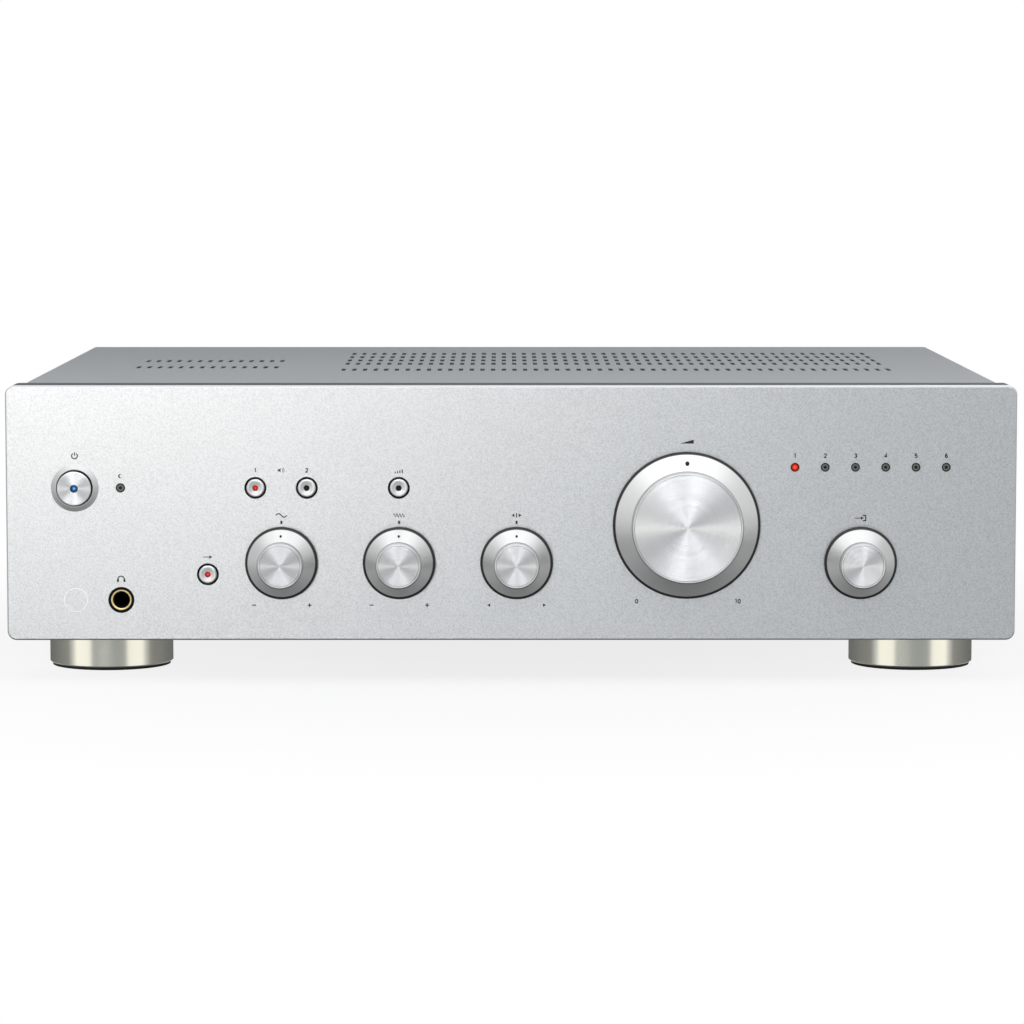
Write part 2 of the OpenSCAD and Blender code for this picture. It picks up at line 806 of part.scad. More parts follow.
module shaft_nuts() {
  color("#c8b98a") placed() for (p = all_pots) at(p) difference() {
    translate([0, web_0 - nut_thick, 0]) rotate([-90, 0, 0]) cylinder(r = nut_r, h = nut_thick, $fn = 6);
    rod(bush_r + glue_gap, web_0 - nut_thick - cut, web_0 + cut);
  }
}

// The part every button shares: stem, stop flange, arm and plunger.
module key_stem(front) {
  rod(key_r, front, web_1 + cut);
  rod(flange_r, web_1, web_1 + flange_thick);
  block([0, arm_reach], [web_1, web_1 + flange_thick], [-arm_wide / 2, arm_wide / 2]);
  translate([arm_reach, 0, 0]) {
    rod(arm_wide / 2, web_1, web_1 + flange_thick);
    rod(pin_r, web_1 + flange_thick - cut, web_1 + flange_thick + pin_long);
  }
}

// A small button with a dished face, bored for its light guide.
module small_button() {
  difference() {
    key_stem(-key_proud);
    rod(guide_bore_r, -key_proud - cut, web_1 + flange_thick + cut);
    // bevel round the face
    turned([[key_r + cut, -key_proud - cut], [key_r - 0.5 - cut, -key_proud - cut],
      [key_r + cut, -key_proud + 0.5 + cut]]);
  }
}

module speaker_a_button() {
  color("#d0d2d4") placed() at(speaker_a_pos) small_button();
}
module speaker_b_button() {
  color("#d0d2d4") placed() at(speaker_b_pos) small_button();
}
module loudness_button() {
  color("#d0d2d4") placed() at(loudness_pos) small_button();
}
module direct_button() {
  color("#d0d2d4") placed() at(direct_pos) small_button();
}

module standby_button() {
  color("#dfe1e3") placed() at(standby_pos) difference() {
    union() {
      turned([[0, standby_face], [standby_r - 0.4, standby_face], [standby_r, standby_face + 0.4],
        [standby_r, standby_back], [0, standby_back]]);
      key_stem(standby_back - cut);
    }
    rod(guide_bore_r, standby_face - cut, web_1 + flange_thick + cut);
  }
}

module standby_bezel() {
  color("#c9cccf") placed() at(standby_pos) turned([
    [bezel_bore_r, panel_thick - 0.2], [bezel_bore_r, -bezel_rise], [bezel_bore_r + bezel_lip, -bezel_rise],
    [bezel_r, -bezel_edge], [bezel_r, 0], [bezel_tube_r, 0], [bezel_tube_r, panel_thick - 0.2]]);
}

module key_switches() {
  color("#26282b") placed() for (p = all_keys) at([p[0] + arm_reach, p[1]]) difference() {
    block([-switch_size / 2, switch_size / 2], [switch_0, board_0], [-switch_size / 2, switch_size / 2]);
    rod(switch_bore_r, switch_0 - cut, board_0 - switch_floor);
  }
}

module panel_lamps() {
  color("#c23a2e") placed() {
    for (p = small_keys) at(p) lamp(guide_r, button_travel - key_proud + lamp_clear);
    at(standby_pos) lamp(guide_r, standby_face + button_travel + lamp_clear);
    for (p = input_lamps) at(p) lamp(lamp_r, lamp_front);
    at(standby_lamp_pos) lamp(standby_lamp_r, lamp_front);
  }
}

// A light guide moulded on to its lamp, standing on the control board.
module lamp(r, front) {
  rod(r, front, led_0 + cut);
  rod(led_r, led_0, board_0);
}

module phones_socket() {
  color("#161617") placed() at(phones_pos) difference() {
    union() {
      rod(nose_r, 0, web_1 + cut);
      block([-phones_half, phones_half], [web_1, web_1 + phones_long], [-phones_half, phones_half]);
    }
    rod(phones_bore / 2, -cut, web_1 + phones_long - 2);
    rod(ring_r + glue_gap, -cut, ring_long);
  }
}

module phones_ring() {
  color("#d9b24a") placed() at(phones_pos) turned([
    [ring_in_r, ring_long], [ring_in_r, 0.3], [ring_in_r + 0.3, 0],
    [ring_r - 0.2, 0], [ring_r, 0.2], [ring_r, ring_long]]);
}

module blank_plug() {
  color("#d4d6d8") placed() at(plug_pos) turned([
    [0, 0], [plug_r - 0.2, 0], [plug_r, 0.2], [plug_r, panel_thick], [0, panel_thick]]);
}

module control_board() {
  color("#2f5d3a") placed() across(board_0, board_1) difference() {
    translate([-board_half, board_low]) square([2 * board_half, board_high - board_low]);
    translate(volume_pos) circle(r = volume_pot_r + 1.5);
    for (p = board_posts) translate(p) circle(r = m3_free);
  }
}

module transformer_core() {
  color("#5b5e63") placed() translate([core_pos[0], core_pos[1], floor_z + core_lift]) difference() {
    union() {
      across(-core_deep / 2, core_deep / 2) difference() {
        translate([-core_wide / 2, 0]) square([core_wide, core_high]);
        for (s = [-1, 1])
          translate([s * leg * 0.75, core_high / 2]) square([leg / 2, leg * 1.5], center = true);
      }
      for (s = [-1, 1]) translate([s * (core_wide / 2 + lug_long / 2), 0, lug_thick / 2])
        cube([lug_long + 2 * cut, core_deep, lug_thick], center = true);
    }
    for (p = lug_screws) translate([p[0], p[1], -cut]) cylinder(r = m3_free, h = lug_thick + 2 * cut);
  }
}

module transformer_coil() {
  coil_z = floor_z + core_lift + leg / 2;
  color("#b4612f") placed() translate([core_pos[0], core_pos[1], coil_z])
    linear_extrude(height = leg * 1.5 - 0.5) difference() {
      square([leg + 2 * coil_wall, core_deep + 2 * coil_wall], center = true);
      square([leg + 2 * glue_gap, core_deep + 2 * glue_gap], center = true);
    }
}

module main_board() {
  color("#2f5d3a") placed() translate([0, 0, main_z]) linear_extrude(height = board_thick) difference() {
    translate([main_x[0], main_d[0]]) square([main_x[1] - main_x[0], main_d[1] - main_d[0]]);
    for (p = stands) translate(p) circle(r = m3_free);
  }
}

module heatsink() {
  color("#2a2b2d") placed() translate([0, 0, main_top]) linear_extrude(height = sink_high) {
    translate([sink_x[0], sink_d]) square([sink_long, sink_back]);
    for (i = [0:fin_count - 1])
      translate([sink_x[0] + fin_in + i * fin_step, sink_d + sink_back - cut])
        square([fin_thick, fin_long + cut]);
  }
}

module power_transistors() {
  color("#1f2022") placed() for (x = chip_x)
    translate([x - chip[0] / 2, sink_d - chip[1], main_top + chip_up]) cube(chip);
}

module filter_capacitors() {
  color("#23304a") placed() for (p = can_at) translate([p[0], p[1], main_top])
    rotate_extrude() polygon([[0, 0], [can_r, 0], [can_r, can_high - 1], [can_r - 1, can_high],
      [can_r - 3, can_high], [can_r - 3, can_high - 0.5], [0, can_high - 0.5]]);
}

module phono_block() {
  low = phono_rows[0] - phono_margin;
  high = phono_rows[1] + phono_margin;
  left = phono_right - (phono_cols - 1) * phono_step - phono_margin;
  core_r = phono_dia / 2 - phono_shell_wall - glue_gap;
  tail_r = phono_dia / 2 - phono_seat_step + glue_gap;
  boss_face = rear_1 + phono_boss_out;
  color("#17181a") placed() difference() {
    union() {
      block([left, phono_right + phono_margin], [rear_0 - phono_deep, rear_0], [low, high]);
      for (p = phono_at) at(p) rod(phono_boss_r, rear_0 - cut, boss_face);
      for (p = phono_at) at(p) rod(core_r, rear_0 - cut, boss_face + phono_shell_out - 1);
    }
    for (p = phono_at) at(p) {
      // ring-shaped seat for the shell's tail
      difference() {
        rod(tail_r, rear_0 - phono_seat, boss_face + cut);
        rod(core_r, rear_0 - phono_seat - cut, boss_face + 2 * cut);
      }
      rod(phono_pin_r, rear_1, boss_face + phono_shell_out);
    }
    for (p = phono_screws) at(p) rod(m3_tap, rear_0 - m3_long, rear_0 + cut);
  }
}

module phono_shells() {
  in_r = phono_dia / 2 - phono_shell_wall;
  tail_r = phono_dia / 2 - phono_seat_step;
  boss_face = rear_1 + phono_boss_out;
  shell_end = boss_face + phono_shell_out;
  color("#d8d3c4") placed() for (p = phono_at) at(p) turned([
    [in_r, rear_0 - phono_seat], [tail_r, rear_0 - phono_seat], [tail_r, boss_face],
    [phono_dia / 2, boss_face], [phono_dia / 2, shell_end - 0.3], [phono_dia / 2 - 0.3, shell_end],
    [in_r, shell_end]]);
}

module terminal_block() {
  color("#17181a") placed() difference() {
    union() {
      at([term_x, term_mid]) block([-term_half[0], term_half[0]], [rear_1, rear_1 + flange_out],
        [-term_half[1], term_half[1]]);
      at([term_x, term_mid]) block([-term_box[0], term_box[0]], [rear_1 - term_deep, rear_1 + cut],
        [-term_box[1], term_box[1]]);
    }
    for (p = term_at) at(p) rod(stud_r + glue_gap, rear_1 - term_deep - cut, rear_1 + flange_out + cut);
    for (p = term_screws) at(p) rod(m3_free, rear_1 - cut, rear_1 + flange_out + cut);
  }
}

module terminal_posts() {
  color("#cdb36a") placed() for (p = term_at) at(p) difference() {
    union() {
      rod(stud_r, rear_1 - term_deep - 4, shoulder_0 + cut);
      rod(shoulder_r, shoulder_0, shoulder_0 + shoulder_thick);
      rod(post_out_r, shoulder_0 + cut, post_tip);
    }
    rod(banana_bore / 2, post_tip - banana_long, post_tip + cut);
    translate([0, cap_0 + 2.5, 0]) cylinder(r = wire_hole_r, h = 2 * shoulder_r, center = true);
  }
}

// A terminal's screw cap with a waist for the fingers.
module cap() {
  turned([
    [cap_bore_r, cap_0], [cap_r - 0.6, cap_0], [cap_r, cap_0 + 0.6], [cap_r, cap_0 + 5],
    [cap_r - 1, cap_0 + 6], [cap_r - 1, cap_1 - 8], [cap_r, cap_1 - 7],
    [cap_r, cap_1 - 0.6], [cap_r - 0.6, cap_1], [cap_bore_r, cap_1]]);
}

module cap_a_1() {
  color("#b3251f") placed() at(term_at[0]) cap();
}
module cap_a_2() {
  color("#1b1b1c") placed() at(term_at[1]) cap();
}
module cap_a_3() {
  color("#1b1b1c") placed() at(term_at[2]) cap();
}
module cap_a_4() {
  color("#b3251f") placed() at(term_at[3]) cap();
}
module cap_b_1() {
  color("#b3251f") placed() at(term_at[4]) cap();
}
module cap_b_2() {
  color("#1b1b1c") placed() at(term_at[5]) cap();
}
module cap_b_3() {
  color("#1b1b1c") placed() at(term_at[6]) cap();
}
module cap_b_4() {
  color("#b3251f") placed() at(term_at[7]) cap();
}

// The inlet's mouth, with its two cut corners upwards.
module inlet_mouth() {
  w = inlet_hollow[0];
  h = inlet_hollow[1];
  polygon([[-w, -h], [w, -h], [w, h - inlet_cham], [w - inlet_cham, h],
    [inlet_cham - w, h], [-w, h - inlet_cham]]);
}

module mains_inlet() {
  front = rear_1 + flange_out;
  color("#141415") placed() at(inlet_pos) difference() {
    union() {
      block([-inlet_flange[0], inlet_flange[0]], [rear_1, front], [-inlet_flange[1], inlet_flange[1]]);
      block([-inlet_body[0], inlet_body[0]], [rear_1 - inlet_back, rear_1 + cut],
        [-inlet_body[1], inlet_body[1]]);
    }
    across(front - inlet_deep, front + cut) inlet_mouth();
    for (p = pin_at) translate([p[0], 0, p[1]])
      block([-pin_size[0] / 2 - glue_gap, pin_size[0] / 2 + glue_gap], [rear_1 - inlet_back - cut, front],
        [-pin_size[1] / 2 - glue_gap, pin_size[1] / 2 + glue_gap]);
    for (s = [-1, 1]) at([s * inlet_screw, 0]) rod(m3_free, rear_1 - cut, front + cut);
  }
}

module inlet_pins() {
  front = rear_1 + flange_out;
  color("#c9c9c4") placed() at(inlet_pos) for (p = pin_at) translate([p[0], 0, p[1]])
    block([-pin_size[0] / 2, pin_size[0] / 2], [rear_1 - inlet_back - pin_tail, front - inlet_deep + pin_out],
      [-pin_size[1] / 2, pin_size[1] / 2]);
}

module ground_screw() {
  color("#c4c4c0") placed() at(ground_pos) turned([
    [0, rear_0 - ground_tail], [ground_shank_r, rear_0 - ground_tail], [ground_shank_r, rear_1 + 0.3],
    [ground_r - 1, rear_1 + 0.3], [ground_r, rear_1 + 1.3], [ground_r, rear_1 + ground_long - 1],
    [ground_r - 1, rear_1 + ground_long], [0, rear_1 + ground_long]]);
}

chassis_base();
rear_panel();
top_cover();
front_frame();
front_panel();
feet();
foot_pads();
foot_screws();
case_screws();
volume_knob();
volume_disc();
volume_shaft();
bass_knob();
bass_disc();
bass_shaft();
treble_knob();
treble_disc();
treble_shaft();
balance_knob();
balance_disc();
balance_shaft();
input_knob();
input_disc();
input_shaft();
volume_pot();
control_pots();
shaft_nuts();
standby_button();
standby_bezel();
speaker_a_button();
speaker_b_button();
loudness_button();
direct_button();
key_switches();
panel_lamps();
phones_socket();
phones_ring();
blank_plug();
control_board();
transformer_core();
transformer_coil();
main_board();
heatsink();
power_transistors();
filter_capacitors();
phono_block();
phono_shells();
terminal_block();
terminal_posts();
cap_a_1();
cap_a_2();
cap_a_3();
cap_a_4();
cap_b_1();
cap_b_2();
cap_b_3();
cap_b_4();
mains_inlet();
inlet_pins();
ground_screw();
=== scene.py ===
# %% [markdown]
# # A silver amplifier, dressed piece by piece
# The shapes of this amplifier are made already: sixty named pieces, drawn in millimetres and packed in
# one frame. What is left for Blender is what light does on them: blasted aluminium, lathe marks, paint,
# print and lamps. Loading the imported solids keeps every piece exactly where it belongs, so no piece has
# to be fitted by eye.

# %% Load the solids
import math

import bmesh
import bpy
from mathutils import Matrix, Vector


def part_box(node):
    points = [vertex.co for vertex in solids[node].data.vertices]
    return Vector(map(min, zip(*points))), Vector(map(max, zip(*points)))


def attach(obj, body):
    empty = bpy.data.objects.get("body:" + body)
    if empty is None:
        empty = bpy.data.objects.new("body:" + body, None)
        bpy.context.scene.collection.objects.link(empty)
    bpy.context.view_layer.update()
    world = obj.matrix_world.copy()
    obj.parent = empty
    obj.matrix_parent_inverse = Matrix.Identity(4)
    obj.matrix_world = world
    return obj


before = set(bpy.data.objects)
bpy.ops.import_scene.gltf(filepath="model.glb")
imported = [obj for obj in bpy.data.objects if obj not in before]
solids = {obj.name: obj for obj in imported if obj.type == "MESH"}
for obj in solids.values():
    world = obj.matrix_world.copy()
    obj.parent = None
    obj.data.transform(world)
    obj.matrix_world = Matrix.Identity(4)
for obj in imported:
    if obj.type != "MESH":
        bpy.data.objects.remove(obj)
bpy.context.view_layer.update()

# %% [markdown]
# ## Where the photographer stood
# A long lens far away makes the front look almost flat, with only a sliver of the top. A camera can
# be set by eye, but the edges of the cover run towards one point, and that point with the known width
# of the panel gives the distance, the height, the tilt and the focal length. Those are used here.

# %% Camera
MM = 0.001
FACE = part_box("front_panel")[0].y
PHOTO_PX = 1024
FOCUS_PX = 4044
LENS_X, LENS_AWAY, LENS_HEIGHT = -2.8, 1734, 235.5
TILT_DOWN, TURN_RIGHT = 5.319, 0.1035

lens = bpy.data.cameras.new("photo_camera")
lens.lens = lens.sensor_width * FOCUS_PX / PHOTO_PX
camera = bpy.data.objects.new("photo_camera", lens)
camera.location = (LENS_X * MM, FACE - LENS_AWAY * MM, LENS_HEIGHT * MM)
camera.rotation_euler = (math.radians(90 - TILT_DOWN), 0, math.radians(-TURN_RIGHT))
scene = bpy.context.scene
scene.collection.objects.link(camera)
scene.camera = camera
scene.view_settings.view_transform = "Standard"
print("lens", round(lens.lens, 1), "mm, from", [round(v, 3) for v in camera.location])

# %% [markdown]
# ## Shader maths in plain Python
# A material is a graph of small nodes, and a sum such as 0.3 + 0.1 * grain takes two of them. Wiring
# each by hand hides the idea, so one small class wraps a socket: its operators add Math nodes, and one
# method adds any other node, with its settings first and its sockets after.

# %% Wires
class Wire:
    """One output in a node tree, ready for sums."""

    def __init__(self, tree, socket=None):
        self.tree = tree
        self.socket = socket

    def node(self, kind, settings=None, sockets=None, out=0):
        added = self.tree.nodes.new("ShaderNode" + kind)
        for name, value in (settings or {}).items():
            setattr(added, name, value)
        for name, value in (sockets or {}).items():
            if isinstance(value, Wire):
                self.tree.links.new(value.socket, added.inputs[name])
            else:
                added.inputs[name].default_value = value
        return Wire(self.tree, added.outputs[out])

    def other(self, name):
        return Wire(self.tree, self.socket.node.outputs[name])

    def math(self, operation, *values):
        return self.node("Math", {"operation": operation}, dict(enumerate(values)))

    def vector(self, operation, *values, out=0):
        return self.node("VectorMath", {"operation": operation}, dict(enumerate(values)), out)

    def __add__(self, value):
        return self.math("ADD", self, value)

    def __sub__(self, value):
        return self.math("SUBTRACT", self, value)

    def __rsub__(self, value):
        return self.math("SUBTRACT", value, self)

    def __mul__(self, value):
        return self.math("MULTIPLY", self, value)

    def __truediv__(self, value):
        return self.math("DIVIDE", self, value)

    def __gt__(self, value):
        return self.math("GREATER_THAN", self, value)

    def __lt__(self, value):
        return self.math("LESS_THAN", self, value)

    __radd__ = __add__
    __rmul__ = __mul__


print("wires ready")


# %% Eases, tints and scales
def ease(value, low, high):
    """0 below low, 1 above high, and a smooth step between."""
    return value.node("MapRange", {"interpolation_type": "SMOOTHSTEP"}, {0: value, 1: low, 2: high})


def band(value, low, full, fading, high):
    """1 between full and fading, and 0 outside low and high."""
    return ease(value, low, full) * (1 - ease(value, fading, high))


def tint(amount, low, high):
    """A colour between two colours, each a wire or its red, green and blue."""
    ends = [c if isinstance(c, Wire) else (*c, 1) for c in (low, high)]
    return amount.node("Mix", {"data_type": "RGBA"}, {0: amount, 6: ends[0], 7: ends[1]}, 2)


def scaled(vector, factor):
    """A vector or a colour, times a number."""
    return vector.node("VectorMath", {"operation": "SCALE"}, {0: vector, "Scale": factor})


print("eases, tints and scales ready")

# %% [markdown]
# ## Helpers for every finish
# Each finish starts from the same place: a new material, and the point on the piece that is being
# shaded. The point is in the frame of the solids, in metres, so a scale of 2500 means grains a little
# under half a millimetre. Values that are the same all over go straight on the shader.

# %% Start and close a finish
def start(name):
    """A new material, and the point that is being shaded."""
    material = bpy.data.materials.new(name)
    material.use_nodes = True
    return material, Wire(material.node_tree).node("TexCoord", out="Object")


def close(material, **values):
    """The material with its shader's values: a wire is linked and a number is set."""
    shader = material.node_tree.nodes["Principled BSDF"]
    for name, value in values.items():
        socket = shader.inputs[name.replace("_", " ")]
        if isinstance(value, Wire):
            material.node_tree.links.new(value.socket, socket)
        else:
            socket.default_value = value
    return material


def dress(material, *names):
    """Put one material on the pieces named."""
    for name in names:
        solids[name].data.materials.clear()
        solids[name].data.materials.append(material)
    print(material.name, "on", ", ".join(names))


print("a finish can be started, closed and put on a piece")


# %% Grain, relief and place
def noise(spot, scale, detail=2.0):
    return spot.node("TexNoise", {}, {"Vector": spot, "Scale": scale, "Detail": detail})


def bump(height, depth):
    """A small relief: depth is in millimetres."""
    return height.node("Bump", {}, {"Strength": 1.0, "Distance": depth * MM, "Height": height})


def axes(spot):
    """The point's three numbers."""
    x = spot.node("SeparateXYZ", {}, {0: spot}, "X")
    return x, x.other("Y"), x.other("Z")


print("grain, relief and place ready")

# %% [markdown]
# ## Paper floor
# The amplifier stands on a sheet of white paper. No lamp lights a whole sheet evenly, so what the camera
# sees of it is set to white. A pale object still needs a real shadow to stand on: near the amplifier a
# fifth of what is seen stays plain paper, which takes the shadow, and it fades out further off.

# %% Paper
NEAR_WHITE = 0.80
SHADOW_START, SHADOW_END = 0.05, 0.50


def white_paper():
    material, spot = start("white_paper")
    tree = material.node_tree
    away = spot.vector("LENGTH", spot, out=1)
    rays = spot.node("LightPath", out="Is Camera Ray")
    mirrored = rays.math("MAXIMUM", rays.other("Is Glossy Ray"), rays.other("Is Transmission Ray"))
    seen = rays.math("MAXIMUM", rays, mirrored)
    white = (NEAR_WHITE + (1 - NEAR_WHITE) * ease(away, SHADOW_START, SHADOW_END)) * seen
    tone = tint(noise(spot, 400.0, 3.0), (0.90, 0.90, 0.90), (0.94, 0.94, 0.94))
    close(material, Base_Color=tone, Roughness=0.9, Specular_IOR_Level=0.1)
    plain = Wire(tree, tree.nodes["Principled BSDF"].outputs[0])
    glow = spot.node("Emission", {}, {"Color": (1, 1, 1, 1), "Strength": 1.0})
    mixed = spot.node("MixShader", {}, {0: white, 1: plain, 2: glow})
    tree.links.new(mixed.socket, tree.nodes["Material Output"].inputs["Surface"])
    return material


paper = white_paper()
print("paper:", len(paper.node_tree.nodes), "nodes")

# %% Floor
FLOOR_REACH = 6.0


def new_piece(name, film, finish):
    """A new object from a film of faces, with its finish."""
    mesh = bpy.data.meshes.new(name)
    film.to_mesh(mesh)
    film.free()
    mesh.materials.append(finish)
    piece = bpy.data.objects.new(name, mesh)
    scene.collection.objects.link(piece)
    return piece


sheet = bmesh.new()
bmesh.ops.create_grid(sheet, x_segments=12, y_segments=12, size=FLOOR_REACH)
floor = new_piece("paper_floor", sheet, paper)
floor.visible_glossy = False
print("floor", 2 * FLOOR_REACH, "m wide")

# %% [markdown]
# ## Studio light
# Brushed and blasted metal shows the room more than its own colour. One lamp beside the lens makes the
# panel bright at the upper left, two softboxes above the front draw the bright rays on the knobs, one
# hangs over the cover and two light the back. Two pale cards at the sides give the feet their upright
# bands. Everything else in the room could be built and lit, but only its reflection shows, so it is
# painted on the world by direction, layer over layer: dim below, brighter above, cool in front, pale
# walls at the sides and white paper behind. A direction's three numbers run from -1 to 1.

# %% The room
WALLS, WALLS_RISE = 0.74, 0.62
FRONT_HALF, LENS_SIDE, LENS_DIP = 0.56, 0.52, 0.24
CARDS, FOOT_SHADE, BACKDROP, SIDE_WALLS = 1.65, 0.16, 1.0, 1.3


def over(room, mask, level):
    """A level painted over the room where the mask is 1."""
    return room + mask * (level - room)


studio = bpy.data.worlds.new("studio")
studio.use_nodes = True
scene.world = studio
wire = Wire(studio.node_tree)
x, depth, height = axes(wire.node("TexCoord", out="Generated"))
sideways, towards = x.math("ABSOLUTE", x), depth * -1.0
front_half = ease(towards, 0.2, 0.6)
front = ease(towards, 0.75, 0.97)
low_band = band(height, -0.21, -0.16, -0.09, -0.04)
cards = low_band * band(sideways, 0.50, 0.60, 0.89, 0.95) * ease(towards, 0.1, 0.28)
foot_shade = low_band * ease(depth, -0.28, -0.12)
backdrop = ease(depth, 0.25, 0.6) * ease(height, -0.02, 0.06)
side_walls = ease(sideways, 0.84, 0.95) * ease(height, -0.05, 0.0)
room = over(WALLS + WALLS_RISE * height, front_half, FRONT_HALF)
room = over(room, front, LENS_SIDE - LENS_DIP * ease(height, -0.2, 0.05))
room = over(room, cards, CARDS)
room = over(room, foot_shade, FOOT_SHADE)
room = over(room, backdrop, BACKDROP)
room = over(room, side_walls, SIDE_WALLS)
print("room painted in", len(studio.node_tree.nodes), "nodes")

# %% Its colour, and who sees it
PLAIN, COOL, WARM, WHITE = (0.985, 0.99, 1.0), (0.80, 0.91, 1.0), (1.0, 0.97, 0.92), (1, 1, 1)
SOFT_FILL = 0.17

ray = wire.node("LightPath", out="Is Camera Ray")
shiny = ray.math("MAXIMUM", ray.other("Is Glossy Ray"), ray.other("Is Transmission Ray"))
level = ray + (1 - ray) * (shiny * room + (1 - shiny) * SOFT_FILL)
hue = tint(front * (1 - low_band), PLAIN, COOL)
hue = tint(cards, hue, WARM)
hue = tint(ray, hue, WHITE)
back = studio.node_tree.nodes["Background"]
studio.node_tree.links.new(scaled(hue, level).socket, back.inputs["Color"])
print("world:", len(studio.node_tree.nodes), "nodes")

# %% Lamps
LAMP_WARM, LAMP_COOL, LAMP_PALE = (1.0, 0.965, 0.92), (0.97, 0.985, 1.0), (0.98, 0.99, 1.0)
FRONT_AIM, BACK_AIM = (0.0, -0.18, 0.07), (0, 0.15, 0.07)


def softbox(name, place, aim, size, watts, colour=WHITE):
    """A soft lamp that looks from its place at its aim, and that the camera doesn't see."""
    lamp = bpy.data.lights.new(name, "AREA")
    lamp.shape = "RECTANGLE"
    lamp.size, lamp.size_y = size
    lamp.energy = watts
    lamp.color = colour
    stand = bpy.data.objects.new(name, lamp)
    stand.location = place
    stand.rotation_euler = (Vector(aim) - Vector(place)).to_track_quat("-Z", "Y").to_euler()
    stand.visible_camera = False
    scene.collection.objects.link(stand)


softbox("panel_light", (-0.46, -2.0, 0.28), (-0.05, -0.16, 0.08), (0.8, 0.5), 5.25, LAMP_WARM)
softbox("top_left", (-0.62, -1.58, 1.54), FRONT_AIM, (0.5, 1.32), 2.6, LAMP_COOL)
softbox("top_right", (0.47, -1.58, 1.58), FRONT_AIM, (0.5, 1.32), 2.7, LAMP_COOL)
softbox("overhead", (0, -0.50, 0.68), (0, -0.10, 0.13), (1.4, 0.7), 3.2, LAMP_PALE)
softbox("back_light", (0.8, 1.7, 0.45), BACK_AIM, (1.0, 0.8), 5.0)
softbox("back_fill", (-1.2, 1.5, 0.45), BACK_AIM, (0.8, 0.8), 3.5)

# %% [markdown]
# ## Blasted aluminium
# The front is a thick plate, blasted with fine glass beads and anodised. The beads leave a sparkle at
# the scale of half a millimetre and no direction at all. A photograph of such a plate would carry one
# light only, so the grain is a fine noise that moves the colour, the roughness and the relief. The
# bevel round the plate is darker and duller than the face, and its depth behind the face tells it apart.

# %% Front panel
BEVEL_START, BEVEL_FULL = 0.03 * MM, 0.12 * MM


def blasted_silver():
    material, spot = start("blasted_silver")
    bead = noise(spot, 1700.0, 3.0)
    fine = noise(spot, 4200.0, 1.0)
    cloud = noise(spot, 7.0, 1.0)
    grain = bead * 0.7 + fine * 0.3
    cool = tint(cloud, (0.79, 0.80, 0.81), (0.82, 0.83, 0.84))
    tone = tint(ease(grain, 0.32, 0.62), (0.63, 0.64, 0.65), cool)
    bevel = ease(axes(spot)[1], FACE + BEVEL_START, FACE + BEVEL_FULL)
    tone = tint(bevel, tone, tint(grain, (0.49, 0.50, 0.51), (0.56, 0.57, 0.58)))
    return close(material, Base_Color=tone, Metallic=1.0, Roughness=0.33 + 0.10 * grain + 0.12 * bevel,
                 Normal=bump(grain, 0.07))


dress(blasted_silver(), "front_panel", "blank_plug")

# %% [markdown]
# ## Turned knobs
# A lathe leaves rings so fine that nobody sees them singly. What shows is their light: each ring leans
# a little in or out, so a lamp is smeared into a bright ray from the centre. Bump maps lose detail that
# is smaller than a pixel, so the normal itself is leaned along the radius by a noise of the radius.

# %% Lathe rings
LATHE_RINGS = 30000.0
WOBBLE_FINER, WOBBLE_SHIFT = 1.7, 40.0


def arm_of(spot, centre):
    """The way out from an axis that runs front to back, and the distance from it."""
    arm = spot.vector("MULTIPLY", spot.vector("SUBTRACT", spot, tuple(centre)), (1, 0, 1))
    radius = arm.vector("LENGTH", arm, out=1)
    to_world = {"vector_type": "VECTOR", "convert_from": "OBJECT", "convert_to": "WORLD"}
    outward = arm.node("VectorTransform", to_world, {0: arm.vector("NORMALIZE", arm)})
    return outward, radius


def leaned(outward, slope):
    """The face's own normal, leaned outward by a slope."""
    face = outward.node("NewGeometry", out="Normal")
    return face.vector("NORMALIZE", face.vector("ADD", face, scaled(outward, slope)))


def rings(radius, lean, spread):
    """A slope that flips from ring to ring, as the two flanks of each lathe groove do."""
    one_way = {"noise_dimensions": "1D"}
    ring = radius.node("TexNoise", one_way, {"W": radius * LATHE_RINGS, "Scale": 1.0})
    finer = radius * (WOBBLE_FINER * LATHE_RINGS) + WOBBLE_SHIFT
    wobble = radius.node("TexNoise", one_way, {"W": finer, "Scale": 1.0, "Detail": 0.0})
    return ring, ((ring > 0.5) * 2.0 - 1.0) * (lean + spread * (wobble - 0.5))


print(LATHE_RINGS * MM, "rings to the millimetre")

# %% [markdown]
# A knob is one turned piece with four zones: an edge round the skirt painted near black as painted shade
# for the gap between knob and panel, a satin cone, a grip wall darkened as painted shade, and a bright lip
# round the face, whose rings lean more. Four materials would need faces of their own, so one material tells
# the four apart by their depth. Black paint fills the pointer's dimple in the cone.

# %% Knobs
KNOBS = ("volume", "bass", "treble", "balance", "input")
SMALL_POINTER = (11.99 * MM, 0.5 * MM)
POINTER = {"volume": (27.02 * MM, 0.9 * MM), "bass": SMALL_POINTER, "treble": SMALL_POINTER,
           "balance": SMALL_POINTER}
RIM, NECK, TIP = FACE - 2.95 * MM, FACE - 9.45 * MM, FACE - 15.45 * MM
RIM_FADE, PAINT_OVER = 0.3 * MM, 0.03 * MM
KNOB_LEAN, KNOB_SPREAD, LIP_TIMES = 0.06, 0.12, 7


def axis_of(name):
    """The middle of a piece's box."""
    low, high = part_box(name)
    return (low + high) / 2


